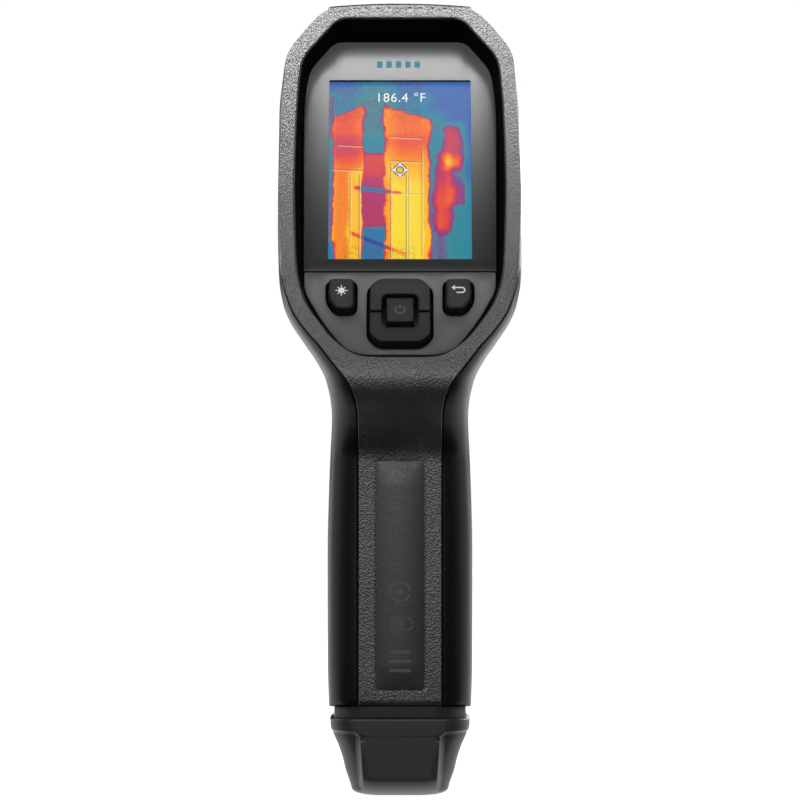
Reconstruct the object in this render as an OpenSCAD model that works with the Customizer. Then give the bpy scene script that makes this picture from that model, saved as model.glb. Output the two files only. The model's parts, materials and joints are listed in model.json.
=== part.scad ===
// Pistol-grip thermal imaging camera: screen and keys at the back, optics at the front,
// battery in the handle, tripod thread in the end cap.
// Millimetres. +Z up the handle, +Y along the optical axis, -Y towards the user.
// The origin is the mouth of the tripod thread in the underside of the end cap.

/* [Body] */
// Wall thickness of the moulded shells
wall = 2.2; // [1.8:0.1:2.6]
// Depth of the front bezel's face
front_y = 49.2; // [48.5:0.1:50]

/* [Screen] */
// Tilt of the screen from upright, in degrees
screen_tilt = 16; // [14:1:18]
// Thickness of the cover glass
glass_t = 1.2; // [0.8:0.1:1.4]

/* [Keys] */
// Tilt of the key panel from upright, in degrees
panel_tilt = 27; // [25:1:29]
// Thickness of the key panel
panel_t = 1.5; // [1.2:0.1:1.7]
// How far the keys stand out of the panel
key_proud = 2.7; // [2:0.1:3.2]
// Clearance round each key
key_gap = 0.3; // [0.25:0.05:0.45]

/* [Optics] */
// Height of the thermal lens axis
lens_z = 186; // [184:1:188]
// Outer radius of the lens barrel
barrel_r = 11; // [10:0.5:12]
// Height of the lamp axis
lamp_z = 161; // [160:1:163]

/* [Handle] */
// Radius of the battery cell
cell_r = 9.2; // [8.8:0.1:9.3]
// Length of the battery cell
cell_l = 65.2; // [60:0.1:65.5]
// Radius of the tripod thread's bore
thread_r = 3.175; // [3.1:0.005:3.2]
// Depth of the tripod thread
thread_depth = 9; // [7:0.5:10]

/* [Hidden] */
$fn = 48;
rim_tilt = 13;
handle_lean = 1.76;
groove_tilt = 8;
// Where the handle's slanted lower end and the cap's slanted top cross the back
handle_end = 25.1;
cap_end = 21.6;
seal_t = 3.3;
spine_y = -21.6;
// Sunk label on the spine, in the spine's own frame
label_size = [12.6, 59.2];
label_mid = 34.65;
label_sink = 0.5;
// Charging port's place along the top
port_y = 6;
dark = [0.13, 0.13, 0.135];
grey = [0.27, 0.27, 0.28];
steel = [0.66, 0.67, 0.69];
board_green = [0.06, 0.27, 0.16];

// ---- Outer form: stations up the body, each [height, value] ----
// Half width of the whole body
body_half = [[18, 18.2], [24, 18.6], [37, 19], [62, 19.1], [80, 18.7], [90, 18.3], [100, 17.8],
    [104, 18.1], [107, 18.7], [110, 19.6], [112.5, 20.9], [115, 22.4], [117.5, 24.2],
    [120, 25.9], [122.5, 27.6], [125, 29], [128, 30.2], [131, 30.9], [134, 31.4],
    [139, 31.7], [150, 31.95], [180, 31.95], [188, 31.2], [193.8, 30.2], [197, 28.8],
    [199.5, 26.9], [203.6, 23.5], [206.2, 20.7], [207.8, 17.8]];
// Half width of the rear cover's outline
cover_half = [[18, 10.5], [100, 10.5], [103, 10.8], [106.5, 11.9], [109, 13.3], [112, 15.6],
    [115, 18], [118, 20.3], [121, 23.1], [124.5, 25.8], [127, 27.3], [130, 28.5],
    [134, 29.7], [138, 30.4], [148, 31], [158, 31.35], [172, 31], [182, 30.6], [190.5, 30.15],
    [193.8, 29.9], [197, 28.4], [199.5, 26.6], [203.6, 23.2], [206.2, 20.5], [207.8, 17.6]];
// Back surface, as far as the rim's plane
back_low = [[18, -21.8], [24, -21.6], [89, -19.6], [92, -20.3], [96, -22.6], [100, -26],
    [104, -29.4], [107, -31], [110, -31.3], [113, -30.8], [116, -30]];
// Front surface
front_at = [[18, 17.6], [24, 18.4], [62, 20.6], [90, 21], [104, 20], [118, 20], [131, 21.5],
    [136, 24], [139, 28], [143, 35], [147, 42], [150, 45.6], [155, 48], [165, 49], [196, 49],
    [199.5, 47.8], [203.6, 43], [206.2, 36], [207.8, 26]];
// Depth over which the back corners round off
back_round = [[18, 9], [90, 9], [104, 12], [112, 15], [125, 13], [134, 12], [207.8, 12]];
// Depth over which the front corners round off
front_round = [[18, 13], [104, 13], [131, 12], [150, 9], [165, 8], [196, 8], [207.8, 8]];
// Half width of the flat on the front
front_half = [[18, 7], [104, 7.5], [118, 9], [131, 15], [139, 22], [150, 25.5], [190, 25.5],
    [197, 23], [203.6, 18], [207.8, 12]];

outer_z = [19, 24, 62, 89, 92, 96, 100, 104, 107, 110, 113, 116, 119, 122, 125, 128, 131,
    134, 137, 140, 143, 147, 150, 155, 165, 188, 193.8, 197, 199.5, 203.6, 206.2, 207.8];
inner_z = [19, 61.6, 88.6, 95.6, 103.6, 109.6, 115.6, 121.6, 127.6, 133.6, 139.6,
    143.6, 147.6, 151.6, 157.6, 189.6, 196.6, 200.6, 205.4];

function back_at(z) = z < 116 ? lookup(z, back_low) : -30 + (z - 116) * tan(rim_tilt);
// One level of the outer form, drawn in by inset
function level(z, inset) =
    let (w = lookup(z, body_half) - inset, wc = min(lookup(z, cover_half), w - 0.4) - inset,
        yb = back_at(z) + inset, yf = lookup(z, front_at) - inset,
        db = lookup(z, back_round) - inset, df = lookup(z, front_round) - inset,
        wf = lookup(z, front_half) - inset, n = 4,
        right = concat(
            [for (i = [0:n]) let (a = 90 * i / n)
                [wc + (w - wc) * sin(a), yb + db * (1 - cos(a)), z]],
            [for (i = [0:n]) let (a = 90 * i / n)
                [wf + (w - wf) * cos(a), yf - df * (1 - sin(a)), z]]))
    concat(right, [for (i = [len(right) - 1:-1:0]) [-right[i][0], right[i][1], z]]);

// A solid through the levels, one convex slab at a time
module body_form(inset, zs) {
    for (i = [0:len(zs) - 2]) {
        points = concat(level(zs[i], inset), level(zs[i + 1], inset));
        hull() polyhedron(points, [for (k = [0:len(points) - 3]) [k, k + 1, k + 2]]);
    }
}

// ---- Frames of the tilted faces: x across, y up the face, z out towards the user ----
module on_rim() { translate([0, -30, 116]) rotate([90 - rim_tilt, 0, 0]) children(); }
module on_screen() { translate([0, -18, 138]) rotate([90 - screen_tilt, 0, 0]) children(); }
module on_panel() { translate([0, -19, 138.2]) rotate([90 - panel_tilt, 0, 0]) children(); }
module on_spine() { translate([0, spine_y, 24]) rotate([90 - handle_lean, 0, 0]) children(); }
// z runs out of the front, along the optical axis
module facing_front(x, y, z) { translate([x, y, z]) rotate([-90, 0, 0]) children(); }

function mirrored(p) = concat(p, [for (i = [len(p) - 1:-1:0]) [-p[i][0], p[i][1]]]);
rim_opening = [[16.1, 91], [25.7, 79.8], [26.9, 68], [27.4, 50], [27.4, 41], [26.8, 24.6]];
key_opening = [[26.8, 24.6], [26.1, 19.3], [24.35, 14], [22.8, 11.3], [18.9, 6], [16.6, 3.4],
    [13.2, 0.9], [9.7, -0.8]];
glass_half = [[17.4, 64.2], [24.1, 56], [25.4, 51], [25.6, 46], [25.1, -0.6]];
panel_half = [[25, -1.1], [24.8, -6.8], [23.4, -9.6], [20.4, -15.4], [15.4, -22.4],
    [13, -24.4], [9.7, -25.5]];

module slab(points, z, t, grow = 0) {
    translate([0, 0, z]) linear_extrude(t) offset(delta = grow) polygon(mirrored(points));
}

// The well in front of the glass and the keys
module well(grow, below) {
    hull() {
        on_rim() slab(rim_opening, grow > 0 ? -2.5 : -0.07, 2.3, grow);
        on_screen() slab(glass_half, -below, below + 0.5, grow);
    }
    hull() {
        on_rim() slab(key_opening, grow > 0 ? -2.5 : -0.07, 2.3, grow);
        on_panel() slab(panel_half, -below, below + 0.3, grow);
    }
}

// What belongs to the rear cover: its outline all the way in, and the head's back edge
module cover_region(gap) {
    outline = concat([for (s = cover_half) [min(s[1], 29.6) + 0.37, s[0] + 0.23]],
        [[24, 215]]);
    intersection() {
        rotate([90, 0, 0]) translate([0, 0, -30]) linear_extrude(80)
            offset(delta = -gap) polygon(mirrored(outline));
        rotate([90, 0, 90]) translate([0, 0, -40]) linear_extrude(80)
            offset(delta = -gap) polygon([[-60, 10], [-16.6, 10], [-14.6, 88.3], [-18.1, 103.3],
                [-18.6, 115.3], [-14.3, 137.4], [-11.6, 157.3], [-0.1, 205.2], [0, 215],
                [-60, 215]]);
    }
    // the back edge of the head's sides, running out where the outline comes round the corner
    rotate([90, 0, 90]) translate([0, 0, -40]) linear_extrude(80)
        offset(delta = -gap) polygon([[-60, 136.7], [-23.3, 136.7], [-20.5, 139.3],
            [-17.2, 143.4], [-14.2, 149.2], [-12.4, 154.2], [-11.2, 159.1], [-0.3, 205.3],
            [-0.2, 215], [-60, 215]]);
}

// Two pairs of screws in the head and one in the neck, each [half spacing, height]
screw_places = [[26.9, 186], [27.2, 145.4], [11.4, 98.6]];
screw_tip = -2.5;
post_meet = 6;
screw_seat = 12;

module at_screws(y) {
    for (x = [-1, 1], p = screw_places) facing_front(x * p[0], y, p[1]) children();
}

module rear_cover() {
    color(grey) difference() {
        union() {
            intersection() {
                difference() { body_form(0, outer_z); body_form(wall, inner_z); }
                cover_region(0);
            }
            intersection() {
                body_form(0.6, outer_z);
                union() { well(1.8, 2.8); }
            }
            intersection() {
                union() {
                    intersection() { body_form(1, outer_z); cover_region(0.1); }
                    body_form(wall + 0.2, inner_z);
                }
                at_screws(-30) cylinder(r = 2.8, h = 30 + post_meet, $fn = 24);
            }
        }
        well(0, 0);
        on_screen() {
            slab(glass_half, -glass_t - 0.3, 3, 0.1);
            slab(glass_half, -6, 8, -1.6);
        }
        on_panel() {
            slab(panel_half, -panel_t - 0.1, 3, 0.1);
            slab(panel_half, -8, 10, -1.6);
        }
        at_screws(screw_tip - 0.5) cylinder(r = 1.05, h = 12, $fn = 24);
        flap_seat();
        on_spine() translate([0, label_mid, -label_sink])
            rounded_plate(label_size[0] + 0.3, label_size[1] + 0.3, 1.15, 3);
        below_slant(handle_end);
    }
}

// Half space under the slant that crosses the back at height z, and the one over it
module below_slant(z) { on_slant(z) translate([-40, -40, -60]) cube([80, 120, 60]); }
module above_slant(z) { on_slant(z) translate([-40, -40, 0]) cube([80, 120, 60]); }
module on_slant(z) { translate([0, spine_y, z]) rotate([-groove_tilt, 0, 0]) children(); }

module front_body() {
    color(dark) difference() {
        union() {
            difference() { body_form(0, outer_z); body_form(wall, inner_z); }
            intersection() {
                body_form(1, outer_z);
                at_screws(post_meet + 0.2) cylinder(r = 3.3, h = 50, $fn = 24);
            }
        }
        cover_region(-0.12);
        intersection() { well(2.2, 3.4); translate([-40, -60, 90]) cube([80, 75, 130]); }
        at_screws(0) cylinder(r = 1.3, h = 20, $fn = 24);
        at_screws(screw_seat) cylinder(r = 2.3, h = 50, $fn = 24);
        // front opening behind the bezel, trigger slot and charging port
        facing_front(0, front_y - 6, 177) rounded_plate(50.6, 46.6, 8.3, 10);
        translate([-7.9, 10, 106]) cube([15.8, 20, 31]);
        flap_seat();
        translate([0, port_y, 203]) rounded_slot(9.6, 3.8, 8);
        below_slant(handle_end);
        // seat of the ribbed pad on the front of the handle
        grip_form(0.15);
    }
}

// Shallow seat of the charging port's flap
module flap_seat() {
    translate([-9.2, -5.3, 206.6]) cube([18.4, 17, 3]);
}

module rounded_plate(w, h, r, t) {
    linear_extrude(t) rounded_rect(w, h, r);
}

module rounded_rect(w, h, r) {
    square([w - 2 * r, h], center = true);
    square([w, h - 2 * r], center = true);
    for (x = [-1, 1], y = [-1, 1]) translate([x * (w / 2 - r), y * (h / 2 - r)]) circle(r);
}

module rounded_slot(w, d, h) {
    linear_extrude(h) {
        square([w - d, d], center = true);
        for (x = [-1, 1]) translate([x * (w - d) / 2, 0]) circle(d / 2);
    }
}

// The pad lies in the front skin of the handle, from below the trigger to the cap
module grip_form(grow) {
    intersection() {
        difference() {
            body_form(grow > 0 ? -1 : 0, [24, 62, 89, 96]);
            body_form(1.4 + grow, [19, 62, 89, 96, 104]);
        }
        facing_front(0, 2, 63) rounded_plate(30 + 2 * grow, 61 + 2 * grow, 6.5, 30);
    }
}

module grip_pad() {
    color(dark) grip_form(0);
}

module front_bezel() {
    color(dark) facing_front(0, front_y - 3, 177) difference() {
        rounded_plate(50, 46, 8, 3);
        translate([0, 177 - lens_z, -1]) cylinder(r = barrel_r + 0.1, h = 5);
        translate([0, 177 - lamp_z, -1]) cylinder(r = 7.1, h = 5);
        translate([-17.5, 177 - lens_z, -1]) cylinder(r = 4.1, h = 5);
        translate([17.5, 177 - lens_z, -1]) cylinder(r = 2.6, h = 5);
    }
}

// ---- End cap ----
// Half width, back and front of the cap, stations up its height
cap_half = [[0, 11.6], [0.8, 12.3], [3.6, 13.2], [6.7, 14.3], [10, 15.1], [13, 16.1], [17, 17.7],
    [20, 18.2], [30, 18.2]];
cap_back = [[0, -10.6], [0.7, -13.6], [1.6, -16.2], [2.8, -18.6], [4.4, -20.4], [6, -21.1],
    [8, -21.4], [30, -21.4]];
cap_front = [[0, 13.6], [1.5, 15.4], [4, 17], [7, 17.6], [30, 17.6]];
cap_z = [0, 0.8, 1.6, 2.8, 4.4, 6, 8, 10, 13, 17, 20, 26];
// How far the scooped sides and the flat tongue lie inside the cap's full depth
scoop_depth = 4.5;
tongue_depth = 0.4;
tongue_half = 10.2;

// One level of the cap, its back and front set back from its full depth
function cap_level(z, setback) =
    let (w = lookup(z, cap_half), n = 4, db = 7, df = min(8, w - 6.2),
        yb = max(lookup(z, cap_back), -21.4 + setback),
        yf = min(lookup(z, cap_front), 17.6 - setback))
    let (right = concat(
        [for (i = [0:n]) let (a = 90 * i / n)
            [w - db + db * sin(a), yb + db * (1 - cos(a)), z]],
        [for (i = [0:n]) let (a = 90 * i / n)
            [w - df + df * cos(a), yf - df * (1 - sin(a)), z]]))
    concat(right, [for (i = [len(right) - 1:-1:0]) [-right[i][0], right[i][1], z]]);

module cap_core(zs, setback) {
    for (i = [0:len(zs) - 2]) {
        points = concat(cap_level(zs[i], setback), cap_level(zs[i + 1], setback));
        hull() polyhedron(points, [for (k = [0:len(points) - 3]) [k, k + 1, k + 2]]);
    }
}

// Two screws beside the tripod insert hold the cap to the battery cradle
cap_screw_seat = 2.2;
cap_head_t = 2.2;
cap_head_r = 2.4;
module at_cap_screws(z) { for (x = [-8.1, 8.1]) translate([x, 1, z]) children(); }

module end_cap() {
    color(dark) difference() {
        union() {
            cap_core(cap_z, scoop_depth);
            cap_core([17, 20, 26], 0);
            // tongue down the back and rib down the front
            intersection() {
                cap_core(cap_z, tongue_depth);
                translate([-tongue_half, -30, 0]) cube([2 * tongue_half, 60, 30]);
            }
        }
        above_slant(cap_end);
        // hollow, stepped for the seal, and the thread insert's seat
        translate([-8, -13, 9]) cube([16, 7, 20]);
        translate([-8, 6, 9]) cube([16, 6, 20]);
        translate([0, 0, -1]) cylinder(r = 4.6, h = 13);
        at_cap_screws(-1) {
            cylinder(r = 1.5, h = 40);
            cylinder(r = cap_head_r + 0.3, h = 1 + cap_screw_seat + cap_head_t + 0.1);
        }
        // lanyard pocket in the front rib, with a bore for the pin across it
        translate([-5.5, 10, lanyard_z - 2.5]) cube([11, 20, 5]);
        lanyard_bar(7.6);
    }
}

// The waist between cap and handle
module end_cap_seal() {
    color(dark) {
        on_slant(cap_end + 0.1) translate([0, 19.8, 0])
            linear_extrude(seal_t) difference() {
                rounded_rect(34.6, 37.4, 9);
                rounded_rect(26, 28, 6);
            }
    }
}

module tripod_insert() {
    color([0.78, 0.62, 0.3]) difference() {
        union() {
            cylinder(r = 4.5, h = 10.5);
            translate([0, 0, 10.5]) cylinder(r = 4.1, h = 1);
        }
        translate([0, 0, -1]) cylinder(r = thread_r, h = thread_depth + 1);
    }
}

module end_cap_screws() {
    color(steel) at_cap_screws(cap_screw_seat) {
        difference() {
            cylinder(r = cap_head_r, h = cap_head_t);
            translate([0, 0, -1]) cylinder(r = 1.1, h = 2, $fn = 6);
        }
        translate([0, 0, cap_head_t]) cylinder(r = 1.3, h = 20);
    }
}

lanyard_z = 5.7;
module lanyard_bar(half) {
    translate([-half, 14, lanyard_z]) rotate([0, 90, 0]) cylinder(r = 1, h = 2 * half);
}

module lanyard_pin() {
    color(steel) lanyard_bar(7.5);
}

module handle_label() {
    color(dark) on_spine() translate([0, label_mid, -label_sink + 0.05])
        rounded_plate(label_size[0], label_size[1], 1, 0.3);
}

// ---- Screen stack, measured out from the glass face ----
module display_window() {
    color([0.1, 0.1, 0.11]) on_screen() translate([0, 0, -glass_t]) linear_extrude(glass_t)
        polygon(mirrored(glass_half));
}

module display_gasket() {
    color(dark) on_screen() translate([0, 0, -glass_t - 0.28]) linear_extrude(0.26)
        difference() {
            polygon(mirrored([[16.9, 63.4], [23.5, 55.3], [25, 47], [24.6, 0]]));
            polygon(mirrored([[16, 61.8], [22, 54.5], [23.4, 47], [23.1, 1.6]]));
        }
}

module lcd_panel() {
    color([0.05, 0.06, 0.08]) on_screen() {
        translate([-21.4, -0.4, -4.9]) cube([42.8, 59, 1.9]);
        translate([-20, 1.8, -3.1]) cube([40, 52.4, 1.6]);
    }
}

module lcd_frame() {
    color(steel) on_screen() difference() {
        translate([-22, -1, -5.6]) cube([44, 60.2, 2.5]);
        translate([-21.5, -0.5, -5]) cube([43, 59.2, 3]);
        translate([-6, -3, -7]) cube([12, 6, 10]);
    }
}

module display_flex() {
    color([0.75, 0.45, 0.12]) on_screen() translate([-5, 0.6, -8.4]) cube([10, 1.2, 3.3]);
}

// ---- Keys, in the panel's frame ----
light_key = [[-18.4, -4.5], [-11.8, -4.5], [-11.8, -13.3], [-16.4, -13.3], [-18.4, -10.1]];
nav_key = [[-7.75, -6.9], [-5.2, -4.5], [5.2, -4.5], [7.75, -6.9], [7.75, -13.9],
    [4.65, -13.9], [4.65, -10.1], [3.7, -9.15], [-3.7, -9.15], [-4.65, -10.1], [-4.65, -13.9],
    [-7.75, -13.9]];
nav_low = [[-7.75, -14.5], [-4.65, -14.5], [-4.65, -17.9], [-3.7, -18.85], [3.7, -18.85],
    [4.65, -17.9], [4.65, -14.5], [7.75, -14.5], [7.75, -20.6], [5.3, -22.9], [-5.3, -22.9],
    [-7.75, -20.6]];
nav_outline = [[-7.75, -6.9], [-5.2, -4.5], [5.2, -4.5], [7.75, -6.9], [7.75, -20.6],
    [5.3, -22.9], [-5.3, -22.9], [-7.75, -20.6]];

module button_panel() {
    color(grey) on_panel() translate([0, 0, -panel_t]) linear_extrude(panel_t) difference() {
        polygon(mirrored(panel_half));
        for (x = [0, 1]) mirror([x, 0]) offset(delta = key_gap) polygon(light_key);
        offset(delta = key_gap) polygon(nav_outline);
    }
}

// A key: the cap, a flange under the panel, and a foot over the dome
module key_solid(points, foot) {
    on_panel() {
        translate([0, 0, -2.6]) linear_extrude(key_proud + 2.6) polygon(points);
        for (p = foot) translate([p[0], p[1], -3.5]) cylinder(r = 1.2, h = 1);
    }
}

module key_flange(x0, y0, w, h) {
    on_panel() translate([x0, y0, -2.6]) cube([w, h, 0.9]);
}

module light_button() {
    color(dark) {
        key_solid(light_key, [[-15, -8.7]]);
        key_flange(-19.2, -13.9, 8, 9.9);
    }
}

module back_button() {
    color(dark) mirror([1, 0, 0]) {
        key_solid(light_key, [[-15, -8.7]]);
        key_flange(-19.2, -13.9, 8, 9.9);
    }
}

module nav_up() {
    color(dark) {
        key_solid(nav_key, [[-6.2, -7.4], [6.2, -7.4]]);
        key_flange(-8.5, -9, 17, 5);
    }
}

module nav_down() {
    color(dark) {
        key_solid(nav_low, [[-6.2, -20], [6.2, -20]]);
        key_flange(-8.4, -23.4, 16.8, 4.4);
    }
}

module power_button() {
    color(dark) on_panel() {
        translate([0, -13.75, -2.6]) linear_extrude(key_proud + 2.8)
            rounded_rect(7.1, 7.1, 0.7);
        translate([0, -13.75, -3.5]) cylinder(r = 1.2, h = 1);
    }
}

dome_places = [[-15, -8.7], [15, -8.7], [-6.2, -7.4], [6.2, -7.4], [-6.2, -20], [6.2, -20],
    [0, -13.75]];
mat_outline = [[21, -3], [21, -10], [13, -21.5], [8, -23.6]];

module keypad_mat() {
    color([0.3, 0.3, 0.32]) on_panel() translate([0, 0, -5.2]) difference() {
        linear_extrude(0.8) polygon(mirrored(mat_outline));
        for (p = dome_places) translate([p[0], p[1], -0.1]) cylinder(r = 1.7, h = 0.5);
    }
}

module keypad_domes() {
    color(steel) on_panel() for (p = dome_places) translate([p[0], p[1], -5.2])
        cylinder(r = 1.6, h = 0.35);
}

module keypad_board() {
    color(board_green) on_panel() translate([0, 0, -6.3]) linear_extrude(1)
        polygon(mirrored(mat_outline));
}

// ---- Electronics, behind the screen ----
module main_board() {
    color(board_green) on_screen() translate([-22, 2, -11.4]) cube([44, 54, 1.4]);
}

module board_box(x, y, w, h, t) {
    on_screen() translate([x, y, -11.4 - t]) cube([w, h, t]);
}

module main_processor() { color([0.08, 0.08, 0.09]) board_box(-6, 26, 12, 12, 1.3); }
module memory_chip() { color([0.08, 0.08, 0.09]) board_box(-18, 27, 8, 10, 1); }
module shield_can() { color(steel) board_box(9, 24, 11, 15, 1.8); }

module usb_connector() {
    color(steel) translate([0, port_y, 199]) difference() {
        rounded_slot(8.9, 3.2, 6.6);
        translate([0, 0, 0.6]) rounded_slot(8.3, 2.6, 7);
    }
}

module usb_flap() {
    color(dark) {
        translate([-8.8, -4.9, 206.9]) cube([17.6, 16.1, 2.3]);
        translate([0, port_y, 205]) rounded_slot(6.8, 1.6, 2.2);
    }
}

// ---- Optics ----
module thermal_lens() {
    color([0.35, 0.36, 0.4]) facing_front(0, 43, lens_z)
        rotate_extrude() polygon([[0, 0], [7.7, 0], [7.7, 2], [6, 2.5], [4, 2.8], [2, 2.95],
            [0, 3]]);
}

module lens_barrel() {
    color(dark) facing_front(0, 30, lens_z) rotate_extrude() polygon([[5, 0], [9.5, 0],
        [9.5, 14], [barrel_r, 15], [barrel_r, 18.9], [10.2, 19.1], [8, 15.4], [7.8, 15.4],
        [7.8, 12.9], [6.6, 12.9], [5, 4]]);
}

module lens_retaining_ring() {
    color(steel) facing_front(0, 45.42, lens_z) rotate_extrude()
        polygon([[6.9, 0.7], [6.9, 0], [7.9, 0], [8.3, 0.7]]);
}

module thermal_core() {
    color(steel) facing_front(0, 14, lens_z) difference() {
        translate([-16, -11.5, 0]) cube([28, 23, 16]);
        translate([-14.4, -10.2, 3]) cube([24, 20.4, 12]);
        translate([0, 0, 10]) cylinder(r = 3.6, h = 10);
    }
}

module thermal_sensor() {
    color([0.2, 0.2, 0.22]) facing_front(0, 17, lens_z) translate([-5, -5, 0])
        cube([10, 10, 2.4]);
}

// The shutter's blade is parked above its motor, and swings down over the aperture
shutter_pivot = [-9.5, lens_z - 7];
shutter_park = 86.4;
shutter_arm = 11.8;
module shutter_flag() {
    color([0.1, 0.1, 0.1]) facing_front(shutter_pivot[0], 25, shutter_pivot[1]) {
        rotate([0, 0, -shutter_park]) linear_extrude(0.4) {
            translate([shutter_arm, 0]) circle(4.6);
            circle(1.3);
            translate([0, -1]) square([shutter_arm, 2]);
        }
        translate([0, 0, -1]) cylinder(r = 0.5, h = 1.2);
    }
}

module shutter_motor() {
    color(steel) facing_front(shutter_pivot[0], 19.8, shutter_pivot[1]) difference() {
        cylinder(r = 2.2, h = 4.6);
        translate([0, 0, 3.6]) cylinder(r = 0.55, h = 2);
    }
}

module camera_window() {
    color([0.05, 0.05, 0.06]) facing_front(-17.5, front_y - 1.6, lens_z)
        cylinder(r = 4, h = 1.2);
}

module camera_module() {
    color(dark) facing_front(-17.5, 36.2, lens_z) {
        translate([-4.25, -4.25, 0]) cube([8.5, 8.5, 5]);
        translate([0, 0, 5]) cylinder(r = 3.2, h = 4.5);
    }
}

module lamp_lens() {
    color([0.9, 0.9, 0.88]) facing_front(0, 41.6, lamp_z) rotate_extrude()
        polygon([[0, 2.6], [2.6, 2.6], [2.6, 0], [3.6, 0], [7, 5.6], [7, 7], [5, 7.2], [0, 7.4]]);
}

module lamp_board() {
    color([0.85, 0.86, 0.85]) {
        facing_front(0, 38.2, lamp_z) cylinder(r = 9, h = 1.5);
        facing_front(0, 39.7, lamp_z) translate([-1.7, -1.7, 0]) cube([3.4, 3.4, 0.8]);
    }
}

module laser_window() {
    color([0.25, 0.05, 0.05]) facing_front(17.5, front_y - 1.6, lens_z) cylinder(r = 2.5, h = 1);
}

module laser_module() {
    color([0.75, 0.6, 0.3]) facing_front(17.5, 36.2, lens_z) difference() {
        cylinder(r = 3, h = 9.5);
        translate([0, 0, 7]) cylinder(r = 1.2, h = 3);
    }
}

module optics_frame() {
    color(grey) facing_front(0, 34, 177) difference() {
        rounded_plate(46, 46, 6, 2);
        translate([0, 177 - lens_z, -1]) cylinder(r = 9.7, h = 4);
        translate([0, 177 - lamp_z, -1]) cylinder(r = 5, h = 4);
    }
}

// ---- Trigger ----
trigger_axis = [16, 139.5];
module trigger() {
    color(dark) difference() {
        translate([-7.5, 0, 0]) rotate([90, 0, 90]) linear_extrude(15)
            polygon([[14, 142], [18, 142.2], [20.5, 140], [23.4, 135.6], [25.2, 131], [25.6, 126],
                [25.2, 121], [25.6, 116], [27, 111.6], [26.2, 109.6], [23.6, 108.4],
                [18.6, 108.4], [17.4, 112], [17, 126], [15.6, 134], [13.4, 138]]);
        translate([-10, trigger_axis[0], trigger_axis[1]]) rotate([0, 90, 0])
            cylinder(r = 1.3, h = 20);
    }
}

module trigger_pin() {
    color(steel) translate([-11, trigger_axis[0], trigger_axis[1]]) rotate([0, 90, 0])
        cylinder(r = 1.25, h = 22);
}

// A fork that carries the pin and backs the spring and the switch
module trigger_bracket() {
    color(grey) difference() {
        union() {
            translate([-11.5, 6, 108]) cube([23, 2, 37]);
            for (x = [-11.5, 8.5]) translate([x, 8, 133]) cube([3, 11, 12]);
        }
        translate([-12, trigger_axis[0], trigger_axis[1]]) rotate([0, 90, 0])
            cylinder(r = 1.25, h = 24);
    }
}

module trigger_spring() {
    color(steel) facing_front(0, 8.05, 115) difference() {
        cylinder(r = 3, h = 9);
        translate([0, 0, -1]) cylinder(r = 2.3, h = 12);
    }
}

module trigger_switch() {
    color(dark) {
        translate([-3, 8, 122]) cube([6, 5.4, 6]);
        facing_front(0, 13.4, 125) cylinder(r = 1.4, h = 1.2);
    }
}

// ---- Battery, in the handle ----
cell_y = -0.6;
cradle_z = 26.2;
module battery_cell() {
    color([0.12, 0.3, 0.55]) translate([0, cell_y, 27.4]) {
        cylinder(r = cell_r, h = cell_l);
        cylinder(r = 3, h = cell_l + 0.8);
    }
}

module battery_cradle() {
    color(grey) {
        translate([0, cell_y, cradle_z]) difference() {
            translate([-10.8, -10.8, 0]) cube([21.6, 13, cell_l + 4]);
            translate([0, 0, 1.2]) cylinder(r = cell_r + 0.1, h = cell_l + 2);
            translate([0, 0, 10]) cylinder(r = 4, h = cell_l + 2);
        }
        // bosses for the end cap's screws
        at_cap_screws(cradle_z - 7.3) difference() {
            cylinder(r = 2.4, h = 7.4);
            translate([0, 0, -1]) cylinder(r = 1.35, h = 8);
        }
    }
}

module battery_foam() {
    color([0.2, 0.2, 0.2]) translate([-6, cell_y + cell_r + 0.1, 40]) cube([12, 2.2, 40]);
}

module battery_lead() {
    color([0.7, 0.1, 0.08]) for (x = [-1.4, 1.4]) {
        translate([x, cell_y, 93.5]) cylinder(r = 0.7, h = 38, $fn = 16);
    }
}

module battery_plug() {
    color([0.9, 0.9, 0.86]) translate([-3.2, cell_y - 1.8, 131.6]) cube([6.4, 3.6, 6]);
}

// Six screws, driven from the front
module housing_screws() {
    color(steel) at_screws(screw_tip) screw(screw_seat - screw_tip);
}

module screw(length) {
    cylinder(r = 1, h = length, $fn = 24);
    translate([0, 0, length]) difference() {
        cylinder(r = 2, h = 1.6, $fn = 24);
        translate([0, 0, 0.6]) cylinder(r = 0.9, h = 2, $fn = 6);
    }
}

rear_cover();
front_body();
front_bezel();
grip_pad();
end_cap();
end_cap_seal();
tripod_insert();
end_cap_screws();
lanyard_pin();
handle_label();
display_window();
display_gasket();
lcd_panel();
lcd_frame();
display_flex();
button_panel();
light_button();
back_button();
nav_up();
nav_down();
power_button();
keypad_mat();
keypad_domes();
keypad_board();
main_board();
main_processor();
memory_chip();
shield_can();
usb_connector();
usb_flap();
thermal_lens();
lens_barrel();
lens_retaining_ring();
thermal_core();
thermal_sensor();
shutter_flag();
shutter_motor();
camera_window();
camera_module();
lamp_lens();
lamp_board();
laser_window();
laser_module();
optics_frame();
trigger();
trigger_pin();
trigger_bracket();
trigger_spring();
trigger_switch();
battery_cell();
battery_cradle();
battery_foam();
battery_lead();
battery_plug();
housing_screws();
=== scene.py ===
import json
import math

import bmesh
import bpy
import numpy as np
from mathutils import Matrix, Vector
from mathutils.geometry import delaunay_2d_cdt


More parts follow.
